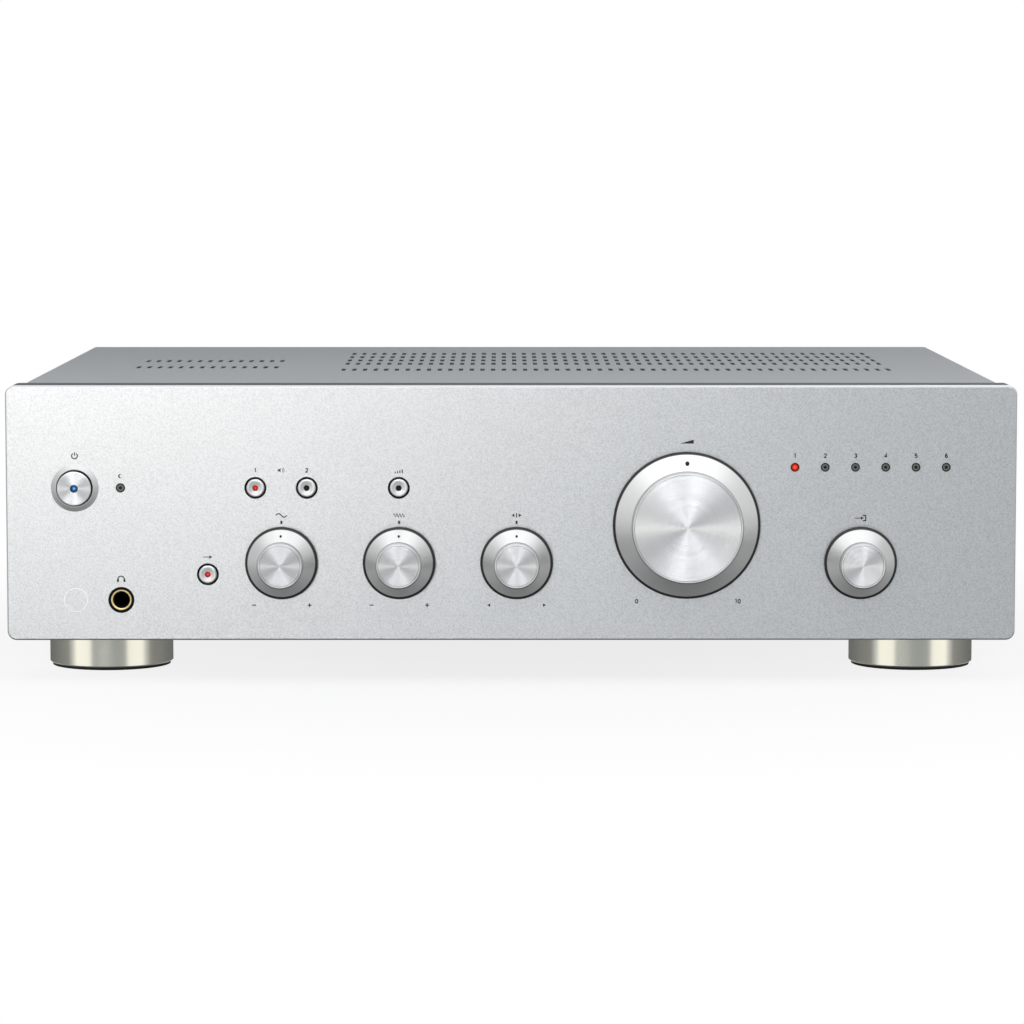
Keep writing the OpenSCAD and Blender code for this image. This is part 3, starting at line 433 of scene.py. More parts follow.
def knob_silver(name):
    centre = axis_of(name + "_knob")
    material, spot = start(name + "_knob_silver")
    outward, radius = arm_of(spot, centre)
    ring, slope = rings(radius, KNOB_LEAN, KNOB_SPREAD)
    y = axes(spot)[1]
    edge, shaded_grip, lip = ease(y, RIM, RIM + RIM_FADE), y < NECK, y < TIP
    tone = tint(ring, (0.655, 0.66, 0.65), (0.73, 0.735, 0.725))
    # painted shade: the edge round the skirt goes near black for the gap between knob and panel
    tone = tint(edge, tone, (0.055, 0.057, 0.055))
    # painted shade: the grip wall, in front of the neck, is darker
    tone = tint(shaded_grip, tone, tint(ring, (0.38, 0.385, 0.375), (0.44, 0.445, 0.435)))
    tone = tint(lip, tone, (0.78, 0.79, 0.80))
    metal = 1.0
    if name in POINTER:
        up, dot = POINTER[name]
        flat = spot.vector("MULTIPLY", spot, (1, 0, 1))
        pen = flat.vector("DISTANCE", flat, (centre.x, 0, centre.z + up), out=1)
        paint = (pen < dot + PAINT_OVER) * (y > NECK)
        tone = tint(paint, tone, (0.03, 0.03, 0.03))
        metal = 1 - paint
    rough = 0.42 + 0.10 * noise(spot, 3000.0) + 0.15 * edge - 0.15 * lip
    return close(material, Base_Color=tone, Metallic=metal, Roughness=rough,
                 Normal=leaned(outward, slope * (1 + (LIP_TIMES - 1) * lip)))


for knob in KNOBS:
    dress(knob_silver(knob), knob + "_knob")

# %% [markdown]
# Each knob carries a separate bright disc. It could share the knob's finish, but its face is cut with
# deeper rings: they lean much more than the cone's, so the lamps draw clear rays on it. The same function
# serves the standby button, which has a black hole for its lamp and a side painted dark as painted shade.

# %% Spun faces
VOLUME_SHINE, SMALL_SHINE = 0.97, 0.86
FACE_LEAN, FACE_SPREAD = 0.42, 0.50


def spun_silver(name, centre, shine=1.0, hole=0.0, shaded_wall=0.0):
    """A bright turned face: black inside the radius hole, and dark behind a depth as painted shade on a
    side.
    """
    material, spot = start(name + "_spun_silver")
    outward, radius = arm_of(spot, centre)
    ring, slope = rings(radius, FACE_LEAN, FACE_SPREAD)
    dull, bright = (0.79, 0.80, 0.81), (0.89, 0.90, 0.91)
    tone = tint(ring, [shine * v for v in dull], [shine * v for v in bright])
    metal = 1.0
    if hole:
        metal = radius > hole
        tone = tint(metal, (0.01, 0.01, 0.011), tone)
    # painted shade: behind this depth the face goes near black, for the shaded side wall
    if shaded_wall:
        tone = tint(axes(spot)[1] > shaded_wall, tone, (0.02, 0.02, 0.02))
    return close(material, Base_Color=tone, Metallic=metal, Roughness=0.25 + 0.08 * ring,
                 Normal=leaned(outward, slope))


for knob in KNOBS:
    shine = VOLUME_SHINE if knob == "volume" else SMALL_SHINE
    dress(spun_silver(knob + "_disc", axis_of(knob + "_disc"), shine), knob + "_disc")

# %% [markdown]
# ## Buttons
# The small buttons are metallised mouldings, each in a dark gap. They could share the knobs' finish,
# but a moulding has no rings, only a soft satin face that is dished round its lamp and rounded at its
# edge. The standby button is turned like the faces of the knobs and stands a little proud of its
# bezel, so it takes the spun finish.

# %% Buttons and bezel
KEYS = {"speaker_a": (-110.1, 84.5), "speaker_b": (-88.0, 84.5), "loudness": (-48.4, 84.5),
        "direct": (-130.8, 47.1), "standby": (-187.8, 84.5)}
DISH = (1.2 * MM, 1.6 * MM, 2.6 * MM, 3.1 * MM)
ROUNDING = (3.2 * MM, 3.9 * MM, 5.0 * MM, 5.5 * MM)
STANDBY_HOLE, STANDBY_RIM = 1.7 * MM, 0.45 * MM


def key_axis(name):
    x, z = KEYS[name]
    return Vector((x * MM, 0, z * MM))


def button_silver(name, centre, dish, rough, shine=1.0):
    """A satin moulding: dish is 1 for a face that is dished and rounded, and 0 for a plain one."""
    material, spot = start(name + "_silver")
    outward, radius = arm_of(spot, centre)
    hollow, rounded = band(radius, *DISH), band(radius, *ROUNDING)
    dark, light = 0.72 * shine, 0.80 * shine
    tone = tint(noise(spot, 260.0), (dark, dark, 0.99 * dark), (light, light, light))
    return close(material, Base_Color=tone, Metallic=1.0, Roughness=rough + 0.1 * noise(spot, 2600.0),
                 Normal=leaned(outward, (0.55 * rounded - 0.32 * hollow) * dish))


for key in ("speaker_a", "speaker_b", "loudness", "direct"):
    dress(button_silver(key + "_button", key_axis(key), 1.0, 0.36), key + "_button")
dress(button_silver("standby_bezel", key_axis("standby"), 0.0, 0.50, 0.78), "standby_bezel")
# painted shade: the button's side, behind its front rim, is painted dark
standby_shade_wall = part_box("standby_button")[0].y + STANDBY_RIM
dress(spun_silver("standby_button", key_axis("standby"), hole=STANDBY_HOLE, shaded_wall=standby_shade_wall),
      "standby_button")

# %% [markdown]
# ## Light guides
# Behind each little hole stands a clear plastic rod on a lamp. Three are lit red and the one in the
# standby button blue; the rest are dark. One solid holds all twelve rods, so its faces are shared out
# by place: each takes the finish of the rod it belongs to.

# %% A rod seen end on
HEART_EDGE, SHADED_RIM_SPAN = (0.25, 0.48), (0.62, 0.85)


def guide(name, places, size, rim, body, heart, glow):
    """A moulded rod: a rim, mostly darker as painted shade, a body, and the lamp behind its middle. The size
    is its radius.
    """
    material, spot = start(name)
    flat = spot.vector("MULTIPLY", spot, (1, 0, 1))
    away = None
    for x, z in places:
        one = flat.vector("DISTANCE", flat, (x * MM, 0, z * MM), out=1)
        away = one if away is None else away.math("MINIMUM", away, one)
    share = away / (size * MM)
    haze = noise(spot, 1500.0)
    tone = tint(ease(share, *HEART_EDGE), heart, body)
    # painted shade: the rim of each rod takes the rim colour, mostly darker, for the shade at the edge of
    # its hole
    tone = tint(ease(share, *SHADED_RIM_SPAN), tone, rim)
    return close(material, Base_Color=tone, Roughness=0.25 + 0.15 * haze, Specular_IOR_Level=0.15,
                 Emission_Color=tone, Emission_Strength=glow, Coat_Weight=0.1 * haze)


print("rods ready")

# %% Light guides
LAMP_R, STANDBY_R, KEY_R = 1.9, 2.0, 1.0
LAMP_FIRST, LAMP_STEP, LAMPS_UP = 122.1, 13.02, 93.35
INPUT_LAMPS = [(LAMP_FIRST + LAMP_STEP * i, LAMPS_UP) for i in range(6)]
STANDBY_LAMP = (-168.2, 84.5)
DARK_KEYS, RED_KEYS = [KEYS["speaker_b"], KEYS["loudness"]], [KEYS["speaker_a"], KEYS["direct"]]
BLACK, SMOKE = (0.012, 0.012, 0.011), (0.17, 0.19, 0.178)
RED, CORAL, EMBER = (0.50, 0.014, 0.009), (0.85, 0.09, 0.03), (0.03, 0.003, 0.002)
NAVY, BLUE, SKY = (0.02, 0.10, 0.32), (0.01, 0.22, 0.62), (0.10, 0.52, 0.86)
GUIDES = {
    "dark_input_guide": (INPUT_LAMPS[1:], LAMP_R, BLACK, SMOKE, BLACK, 0.0),
    "dark_standby_guide": ([STANDBY_LAMP], STANDBY_R, BLACK, SMOKE, BLACK, 0.0),
    "dark_key_guide": (DARK_KEYS, KEY_R, BLACK, BLACK, EMBER, 0.0),
    "red_input_guide": (INPUT_LAMPS[:1], LAMP_R, EMBER, RED, CORAL, 0.45),
    "red_key_guide": (RED_KEYS, KEY_R, RED, RED, CORAL, 0.4),
    "blue_standby_guide": ([KEYS["standby"]], KEY_R, NAVY, BLUE, SKY, 0.6),
}


def nearest_guide(point):
    """Which group of rods a face belongs to."""
    here = (point.x / MM, point.z / MM)
    gaps = [min(math.dist(here, place) for place in row[0]) for row in GUIDES.values()]
    return gaps.index(min(gaps))


guides = solids["panel_lamps"].data
guides.materials.clear()
for name, row in GUIDES.items():
    guides.materials.append(guide(name, *row))
for face in guides.polygons:
    face.material_index = nearest_guide(face.center)
print("faces by guide:", [sum(f.material_index == i for f in guides.polygons) for i in range(len(GUIDES))])

# %% [markdown]
# ## Painted cover
# The cover is folded steel sheet with a silver-grey paint. Seen this low it shows its texture more than
# its colour: a fine orange peel that breaks up the reflection of the backdrop. Rows of slots let the
# heat out, and their walls are painted dark as painted shade inside the slots. A second finish would need
# faces of its own, so the one paint turns dark by place instead: inside the slots' field, just under the
# skin of the sheet.

# %% Cover
SLOTS_REACH, SLOTS_END = 200 * MM, FACE + 300 * MM
SKIN, WALL_TALL = 0.2 * MM, 2 * MM


def satin_paint(name, dark, light, rough, slots_top=None):
    """Paint over sheet steel; under slots_top the slot walls take a dark painted shade."""
    material, spot = start(name)
    grain = noise(spot, 1500.0, 3.0)
    flake = noise(spot, 6000.0, 1.0)
    cloud = noise(spot, 5.0, 2.0)
    tone = tint(0.6 * cloud + 0.4 * flake, dark, light)
    if slots_top:
        x, y, z = axes(spot)
        field = (x.math("ABSOLUTE", x) < SLOTS_REACH) * (y < SLOTS_END)
        # painted shade: the slot walls just under the top skin go dark
        shaded_wall = (z < slots_top) * (z > slots_top - WALL_TALL) * field
        tone = tint(shaded_wall, tone, (0.16, 0.165, 0.17))
    return close(material, Base_Color=tone, Roughness=rough + 0.12 * grain, Specular_IOR_Level=0.04,
                 Normal=bump(grain, 0.03))


slots_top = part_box("top_cover")[1].z - SKIN
dress(satin_paint("cover_paint", (0.49, 0.52, 0.54), (0.575, 0.60, 0.617), 0.6, slots_top), "top_cover")
dress(satin_paint("rear_paint", (0.035, 0.036, 0.038), (0.055, 0.056, 0.06), 0.5), "rear_panel")

# %% [markdown]
# ## Plain working metals and plastics
# Most of the other pieces are stock materials: zinc-plated sheet, moulded plastic, rubber, gold plate.
# Each could have a material of its own, but one function for a kind is enough. It has the marks that the
# making leaves, such as rolling lines in sheet steel or the fine spark texture of a mould, and the pieces
# differ in colour, roughness and relief. Rubber shares the function of the plastics.

# %% Sheet steel and plating
def rolled_steel(name, dark, light):
    """Plated sheet: long rolling lines and a cloudy spangle."""
    material, spot = start(name)
    lines = noise(spot.vector("MULTIPLY", spot, (6.0, 900.0, 900.0)), 1.0, 3.0)
    spangle = spot.node("TexVoronoi", {}, {"Vector": spot, "Scale": 140.0}, "Color")
    patch = spangle.node("SeparateColor", {}, {0: spangle})
    tone = tint(0.5 * lines + 0.5 * patch, dark, light)
    return close(material, Base_Color=tone, Metallic=1.0, Roughness=0.32 + 0.2 * patch,
                 Normal=bump(lines, 0.008))


def plating(name, dark, light, rough=0.18):
    """Bright plating over turned metal."""
    material, spot = start(name)
    cloud = noise(spot, 300.0, 2.0)
    lines = noise(spot.vector("MULTIPLY", spot, (200.0, 4000.0, 200.0)), 1.0, 2.0)
    return close(material, Base_Color=tint(cloud, dark, light), Metallic=1.0,
                 Roughness=rough + 0.12 * cloud, Normal=bump(lines, 0.01))


dress(rolled_steel("plated_sheet", (0.42, 0.43, 0.44), (0.55, 0.56, 0.57)), "chassis_base")
dress(plating("gold_plate", (0.86, 0.66, 0.31), (0.98, 0.82, 0.48), 0.25), "phones_ring", "terminal_posts")
dress(plating("nickel_plate", (0.50, 0.50, 0.48), (0.64, 0.63, 0.60)), "phono_shells", "inlet_pins",
      "ground_screw")
dress(plating("screw_zinc", (0.26, 0.27, 0.28), (0.40, 0.41, 0.42), 0.3), "case_screws", "foot_screws")
dress(plating("brass_nut", (0.52, 0.40, 0.20), (0.66, 0.53, 0.28), 0.3), "shaft_nuts")
dress(plating("shaft_steel", (0.45, 0.45, 0.45), (0.60, 0.60, 0.60), 0.25),
      *[knob + "_shaft" for knob in KNOBS], "volume_pot", "control_pots")

# %% Plastic and rubber
FRAME_SHADE_END, FRAME_GREY = FACE + 6 * MM, FACE + 9 * MM


def moulding(name, dark, light, rough, spark=0.02, gloss=0.5):
    """Moulded plastic with the spark texture of its tool."""
    material, spot = start(name)
    grain = noise(spot, 3200.0, 2.0)
    cloud = noise(spot, 40.0, 2.0)
    tone = tint(0.5 * cloud + 0.5 * grain, dark, light)
    return close(material, Base_Color=tone, Roughness=rough + 0.15 * grain, Specular_IOR_Level=gloss,
                 Normal=bump(grain, spark))


def frame_plastic():
    """The frame behind the panel: grey at its rim, black as painted shade where the button gaps look in."""
    material, spot = start("frame_plastic")
    grain = noise(spot, 3000.0)
    grey = tint(grain, (0.12, 0.126, 0.13), (0.16, 0.167, 0.172))
    # painted shade: the frame is black in front of this depth, where it is seen through the gaps
    tone = tint(ease(axes(spot)[1], FRAME_SHADE_END, FRAME_GREY), (0.008, 0.008, 0.008), grey)
    return close(material, Base_Color=tone, Roughness=0.6 + 0.15 * grain, Specular_IOR_Level=0.05,
                 Normal=bump(grain, 0.02))


dress(frame_plastic(), "front_frame")
dress(moulding("pad_rubber", (0.012, 0.012, 0.012), (0.03, 0.03, 0.03), 0.8, spark=0.05), "foot_pads")
dress(moulding("matt_black", (0.006, 0.006, 0.006), (0.012, 0.012, 0.012), 0.6, gloss=0.1), "phones_socket")
dress(moulding("black_plastic", (0.012, 0.012, 0.013), (0.025, 0.025, 0.026), 0.4), "mains_inlet",
      "terminal_block", "key_switches", "power_transistors")

# %% [markdown]
# ## Feet
# The feet are warm nickel cups, turned and bright, and they mirror the studio in upright bands. Their
# rings run level, so they move only the tone and the polish here: a lean would smear the bands.

# %% Feet
def foot_nickel():
    material, spot = start("foot_nickel")
    turns = axes(spot)[2] * 9000.0
    ring = turns.node("TexNoise", {"noise_dimensions": "1D"}, {"W": turns, "Scale": 1.0, "Detail": 1.0})
    tone = tint(ring, (0.68, 0.675, 0.59), (0.78, 0.775, 0.69))
    return close(material, Base_Color=tone, Metallic=1.0, Roughness=0.17 + 0.06 * ring)


dress(foot_nickel(), "feet")

# %% [markdown]
# ## Inside
# Only slivers of the inside show through the slots, but the part may be opened. A board is green lacquer
# over copper tracks, a transformer core is a stack of thin plates, its coil is enamelled wire in close
# layers. Each pattern is a wave or a grid of the place: half a millimetre for a plate, a little more for a
# turn of wire.

# %% Boards
def circuit_board():
    """Lacquered tracks in a grid, with tinned dots."""
    material, spot = start("circuit_board")
    grid = {"Vector": spot, "Scale": 160.0, "Mortar Size": 0.05}
    tracks = spot.node("TexBrick", {"offset": 0.5}, grid, "Fac")
    dots = spot.node("TexVoronoi", {}, {"Vector": spot, "Scale": 220.0}, "Distance")
    tin = dots < 0.16
    green = tint(tracks, (0.03, 0.13, 0.05), (0.06, 0.22, 0.09))
    return close(material, Base_Color=tint(tin, green, (0.55, 0.55, 0.52)), Metallic=tin,
                 Roughness=0.35 + 0.1 * tracks, Normal=bump(tracks + tin, 0.04), Coat_Weight=0.3)


dress(circuit_board(), "control_board", "main_board")

# %% Transformer, heat sink and cans
DEPTH, HEIGHT = 1, 2


def striped(name, axis, pitch, dark, light, metal, rough):
    """Thin layers along one axis, such as plates or turns of wire: the pitch is in millimetres."""
    material, spot = start(name)
    line = axes(spot)[axis] * (2 * math.pi / (pitch * MM))
    layer = line.math("SINE", line) * 0.5 + 0.5
    cloud = noise(spot, 120.0)
    tone = tint(0.7 * layer + 0.3 * cloud, dark, light)
    return close(material, Base_Color=tone, Metallic=metal, Roughness=rough + 0.1 * cloud,
                 Normal=bump(layer, 0.12))


dress(striped("iron_plates", DEPTH, 0.5, (0.12, 0.12, 0.13), (0.26, 0.26, 0.28), 0.9, 0.45),
      "transformer_core")
dress(striped("copper_turns", HEIGHT, 0.6, (0.30, 0.11, 0.04), (0.58, 0.25, 0.10), 0.9, 0.3),
      "transformer_coil")
dress(striped("black_fins", HEIGHT, 1.2, (0.014, 0.014, 0.015), (0.03, 0.03, 0.032), 0.6, 0.45),
      "heatsink")
dress(striped("can_sleeve", HEIGHT, 30.0, (0.02, 0.035, 0.09), (0.03, 0.05, 0.13), 0.0, 0.3),
      "filter_capacitors")

# %% [markdown]
# ## Sockets at the back
# The upper phono row has white rings and the lower row red ones, as on most amplifiers. One solid carries
# both rows, so the colour follows the height, and only where the block stands out of the panel. The screw
# caps are ribbed for the fingers: a wave of the angle round each post.

# %% Phono block
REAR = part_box("rear_panel")[1].y
PROUD = 0.05 * MM


def place_of(name):
    """A piece's middle, across and up, to a tenth of a millimetre."""
    middle = axis_of(name) / MM
    return round(middle.x, 1), round(middle.z, 1)


def phono_plastic():
    material, spot = start("phono_plastic")
    y, z = axes(spot)[1:]
    grain = noise(spot, 3000.0)
    upper = z > place_of("phono_block")[1] * MM
    ring = tint(upper, (0.40, 0.015, 0.012), (0.72, 0.71, 0.68))
    black = tint(grain, (0.012, 0.012, 0.013), (0.026, 0.026, 0.027))
    tone = tint(y > REAR + PROUD, black, ring)
    return close(material, Base_Color=tone, Roughness=0.38 + 0.15 * grain, Normal=bump(grain, 0.015))


dress(phono_plastic(), "phono_block")

# %% Screw caps
RIBS = 20.0
post_x, post_z = place_of("cap_b_1")
step_x = place_of("cap_b_2")[0] - post_x
step_z = place_of("cap_a_1")[1] - post_z


def from_post(value, first, step):
    """How far a place lies from the nearest of a row of posts, in steps of the row."""
    steps = (value - first * MM) / (step * MM) + 0.5
    return steps.math("FRACT", steps) - 0.5


def ribbed_cap(name, dark, light):
    material, spot = start(name)
    here = axes(spot)
    across = from_post(here[0], post_x, step_x) * step_x
    rise = from_post(here[2], post_z, step_z) * step_z
    angle = across.math("ARCTAN2", across, rise)
    rib = angle.math("SINE", angle * RIBS) * 0.5 + 0.5
    grain = noise(spot, 3000.0)
    tone = tint(0.6 * rib + 0.4 * grain, dark, light)
    return close(material, Base_Color=tone, Roughness=0.3 + 0.12 * grain, Normal=bump(rib, 0.35))


dress(ribbed_cap("red_cap", (0.32, 0.012, 0.01), (0.50, 0.03, 0.025)), "cap_a_1", "cap_a_4", "cap_b_1",
      "cap_b_4")
dress(ribbed_cap("black_cap", (0.012, 0.012, 0.013), (0.03, 0.03, 0.031)), "cap_a_2", "cap_a_3", "cap_b_2",
      "cap_b_3")

# %% [markdown]
# ## Printed marks
# Silk-screened marks are a film of ink a few hundredths of a millimetre thick. Here they are plain signs
# and numbers, which a reader of any language can follow. They could be painted in the shader, but as
# thin closed shapes they stay sharp at any size. They are drawn in millimetres, across and up, as lines
# of one width each.

# %% Pen
PEN = 0.48


def ribbon(points, width=PEN, closed=False):
    """A line of ink through the points, as one flat quad for each stretch."""
    ends = list(points)
    count = len(ends)
    sides = []
    for i, (x, z) in enumerate(ends):
        before = ends[i - 1] if i or closed else None
        after = ends[(i + 1) % count] if i < count - 1 or closed else None
        steps = [(b[0] - a[0], b[1] - a[1]) for a, b in ((before, (x, z)), ((x, z), after)) if a and b]
        units = [(u / math.hypot(u, v), v / math.hypot(u, v)) for u, v in steps]
        along = (sum(u for u, v in units), sum(v for u, v in units))
        size = math.hypot(*along) or 1.0
        along = (along[0] / size, along[1] / size)
        reach = width / 2 / max(0.5, along[0] * units[0][0] + along[1] * units[0][1])
        out_x, out_z = along[1] * reach, along[0] * reach
        sides.append(((x - out_x, z + out_z), (x + out_x, z - out_z)))
    pairs = zip(sides, sides[1:] + sides[:1]) if closed else zip(sides, sides[1:])
    return [(a[1], b[1], b[0], a[0]) for a, b in pairs]


def arc(r, start_deg, end_deg, steps=24):
    """Points along a circle, from the right and against the clock."""
    turn = [math.radians(start_deg + (end_deg - start_deg) * i / steps) for i in range(steps + 1)]
    return [(r * math.cos(t), r * math.sin(t)) for t in turn]


def moved(shapes, x, z, scale=1.0):
    return [[(x + scale * u, z + scale * v) for u, v in shape] for shape in shapes]


print("pen of", PEN, "mm ready")

# %% [markdown]
# The signs themselves come next: numbers as pen strokes in a box one wide and 1.6 high, and small
# pictures that any amplifier could carry.

# %% Numbers
FIGURE_TALL, FIGURE_STEP, NUMBER_PEN = 1.6, 1.35, 0.46
STROKES = {
    "0": [[(u, FIGURE_TALL * v) for u, v in arc(0.5, 90, 450)]],
    "1": [[(-0.3, 0.5), (0.05, 0.8), (0.05, -0.8)]],
    "2": [[(-0.45, 0.4), (-0.3, 0.7), (0, 0.8), (0.3, 0.7), (0.45, 0.4), (0.35, 0.05), (-0.45, -0.8),
           (0.5, -0.8)]],
    "3": [[(-0.42, 0.58), (-0.2, 0.77), (0.1, 0.8), (0.38, 0.62), (0.38, 0.28), (0.1, 0.08), (-0.1, 0.06)],
          [(0.1, 0.08), (0.42, -0.12), (0.45, -0.45), (0.2, -0.74), (-0.1, -0.8), (-0.45, -0.6)]],
    "4": [[(0.25, -0.8), (0.25, 0.8), (-0.5, -0.35), (0.5, -0.35)]],
    "5": [[(0.4, 0.8), (-0.3, 0.8), (-0.38, 0.05), (0, 0.2), (0.35, 0.05), (0.47, -0.3), (0.3, -0.68),
           (-0.05, -0.8), (-0.45, -0.65)]],
    "6": [[(0.35, 0.7), (0, 0.8), (-0.3, 0.5), (-0.44, 0), (-0.42, -0.4), (-0.2, -0.74), (0.1, -0.78),
           (0.4, -0.55), (0.42, -0.2), (0.2, 0.08), (-0.1, 0.1), (-0.4, -0.2)]],
    "7": [[(-0.45, 0.8), (0.45, 0.8), (-0.1, -0.8)]],
}


def number(text, pen=NUMBER_PEN):
    drawn = []
    for i, figure in enumerate(text):
        for stroke in STROKES[figure]:
            drawn += moved(ribbon(stroke, pen), FIGURE_STEP * (i - (len(text) - 1) / 2), 0)
    return drawn


print(len(STROKES), "numbers drawn")

# %% Signs
INDEX_PEN, THIN_PEN, ARROW_PEN = 0.9, 0.26, 0.32


def wave(reach, height, turns, steps, pen=PEN):
    """A sine from -reach to reach."""
    share = [i / steps for i in range(steps + 1)]
    return ribbon([(reach * (2 * s - 1), height * math.sin(2 * math.pi * turns * s)) for s in share], pen)


INDEX = ribbon([(0, -0.7), (0, 0.7)], INDEX_PEN)
MINUS = ribbon([(-0.85, 0), (0.85, 0)])
PLUS = MINUS + ribbon([(0, -0.85), (0, 0.85)])
LEFT = [[(0.6, -0.75), (0.6, 0.75), (-0.7, 0)]]
RIGHT = [[(-0.6, 0.75), (-0.6, -0.75), (0.7, 0)]]
POWER = ribbon(arc(1.25, 125, 415, 30)) + ribbon([(0, 0.15), (0, 1.6)])
MOON = [arc(0.95, 50, 310, 20) + [(u + 0.45, v) for u, v in arc(0.74, 282, 78, 16)]]
SPEAKER = [[(-1.5, -0.4), (-0.9, -0.4), (-0.2, -1.0), (-0.2, 1.0), (-0.9, 0.4), (-1.5, 0.4)]]
for r, steps in ((0.9, 10), (1.5, 12)):
    SPEAKER += moved(ribbon(arc(r, -45, 45, steps), THIN_PEN), -0.2, 0)
BARS = [[(x - 0.25, -0.8), (x + 0.25, -0.8), (x + 0.25, h), (x - 0.25, h)] for x, h in
        ((-1.5, -0.2), (-0.5, 0.15), (0.5, 0.5), (1.5, 0.9))]
SLOW_WAVE = wave(2.4, 0.75, 1, 24)
FAST_WAVE = wave(2.4, 0.75, 4, 48, THIN_PEN)
MAINS_WAVE = wave(1.6, 0.6, 1, 20)
SCALES = moved(LEFT, -1.5, 0) + ribbon([(0, -0.9), (0, 0.9)]) + moved(RIGHT, 1.5, 0)
WEDGE = [[(-3.0, -0.8), (3.0, -0.8), (3.0, 0.9)]]
ARROW = ribbon([(-2.0, 0), (1.2, 0)], ARROW_PEN) + moved(RIGHT, 1.3, 0)
ENTER = moved(ARROW, -0.6, 0) + ribbon([(0.9, 1.1), (2.2, 1.1), (2.2, -1.1), (0.9, -1.1)])
EAR = [[(-0.42, -1.1), (0.42, -1.1), (0.42, 0.1), (-0.42, 0.1)]]
HEADPHONES = ribbon(arc(1.4, 0, 180, 20)) + moved(EAR, -1.4, 0) + moved(EAR, 1.4, 0)
EARTH = ribbon([(0, 1.4), (0, 0)])
for half, z in ((1.2, 0), (0.8, -0.5), (0.35, -1.0)):
    EARTH += ribbon([(-half, z), (half, z)])
print("signs drawn")

# %% [markdown]
# Now they are laid on the front. Each mark takes its place from the knob, button, lamp or socket that it
# belongs to. The speaker sign stands between its two buttons, straight above the bass knob.

# %% Ink
INK_LIFT = 0.03 * MM
WELD = 0.001 * MM


def ink(name, dark, light):
    material, spot = start(name)
    grain = noise(spot, 4000.0)
    return close(material, Base_Color=tint(grain, dark, light), Roughness=0.5 + 0.2 * grain,
                 Normal=bump(grain, 0.01))


def lay(name, shapes, finish, face=FACE, mirror=1):
    """Thin closed shapes that stand on a face: mirror is 1 on the front and -1 on the back."""
    film = bmesh.new()
    skin = face - mirror * INK_LIFT
    for shape in shapes:
        film.faces.new([film.verts.new((mirror * x * MM, skin, z * MM)) for x, z in shape])
    bmesh.ops.remove_doubles(film, verts=film.verts[:], dist=WELD)
    tops, rims = film.faces[:], [edge.verts[:] for edge in film.edges if edge.is_boundary]
    seat = {v: film.verts.new(v.co + Vector((0, mirror * INK_LIFT, 0))) for v in film.verts[:]}
    for top in tops:
        film.faces.new([seat[v] for v in reversed(top.verts)])
    for a, b in rims:
        film.faces.new((a, b, seat[b], seat[a]))
    bmesh.ops.recalc_face_normals(film, faces=film.faces[:])
    piece = new_piece(name, film, finish)
    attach(piece, "chassis")
    print(name, "has", len(shapes), "shapes")


front_ink = ink("front_ink", (0.010, 0.010, 0.010), (0.022, 0.022, 0.022))
rear_ink = ink("rear_ink", (0.60, 0.60, 0.59), (0.72, 0.72, 0.71))
print("inks:", front_ink.name, rear_ink.name)


# %% Marks of the buttons
POWER_UP, MOON_UP, PAIR_UP, BARS_UP, ARROW_UP, SPEAKER_UP = 13.8, 5.1, 7.6, 7.1, 7.5, 40.0


def by_key(key, shapes, up):
    """Shapes above a button."""
    x, z = KEYS[key]
    return moved(shapes, x, z + up)


def by_piece(name, shapes, across, up):
    """Shapes beside a piece."""
    x, z = place_of(name)
    return moved(shapes, x + across, z + up)


lamp_x, lamp_z = STANDBY_LAMP
lay("standby_marks", by_key("standby", POWER, POWER_UP) + moved(MOON, lamp_x, lamp_z + MOON_UP), front_ink)
speaker_marks = by_key("speaker_a", number("1"), PAIR_UP) + by_piece("bass_knob", SPEAKER, 0, SPEAKER_UP)
speaker_marks += by_key("speaker_b", number("2"), PAIR_UP)
speaker_marks += by_key("loudness", BARS, BARS_UP) + by_key("direct", ARROW, ARROW_UP)
lay("speaker_marks", speaker_marks, front_ink)

# %% Marks of the knobs and the headphone socket
SIGN_UP, INDEX_UP, WEDGE_UP, ENTER_UP, LAMP_NUMBER_UP = 20.5, 17.5, 36.0, 19.3, 5.0
LESS_MORE_X, LESS_MORE_UP = 12.0, -18.4
PHONES_UP = 8.9
ENDS_LEFT, ENDS_RIGHT, ENDS_UP = -21.4, 22.2, -33.0
TONE_SIGNS = (("bass_knob", SLOW_WAVE, MINUS, PLUS), ("treble_knob", FAST_WAVE, MINUS, PLUS),
              ("balance_knob", SCALES, LEFT, RIGHT))

tone_marks = []
for knob, sign, less, more in TONE_SIGNS:
    tone_marks += by_piece(knob, sign, 0, SIGN_UP) + by_piece(knob, INDEX, 0, INDEX_UP)
    tone_marks += by_piece(knob, less, -LESS_MORE_X, LESS_MORE_UP)
    tone_marks += by_piece(knob, more, LESS_MORE_X, LESS_MORE_UP)
lay("tone_marks", tone_marks, front_ink)
volume_marks = by_piece("volume_knob", WEDGE, 0, WEDGE_UP)
volume_marks += by_piece("volume_knob", number("0"), ENDS_LEFT, ENDS_UP)
volume_marks += by_piece("volume_knob", number("10"), ENDS_RIGHT, ENDS_UP)
lay("volume_marks", volume_marks, front_ink)
input_marks = by_piece("input_knob", ENTER, 0, ENTER_UP)
for i, (x, z) in enumerate(INPUT_LAMPS):
    input_marks += moved(number(str(i + 1)), x, z + LAMP_NUMBER_UP)
lay("input_marks", input_marks, front_ink)
lay("phones_mark", by_piece("phones_ring", HEADPHONES, 0, PHONES_UP), front_ink)

# %% [markdown]
# The blank plug is flush with the panel, and only its edge shows, as a thin bright circle. It could be a
# chamfer in the solid. It is about a third of a millimetre wide, so it is drawn like the ink, with a
# narrow pen and a bright metal.

# %% Bright rim of the blank plug
PLUG_RIM, PLUG_PEN = 5.0, 0.36


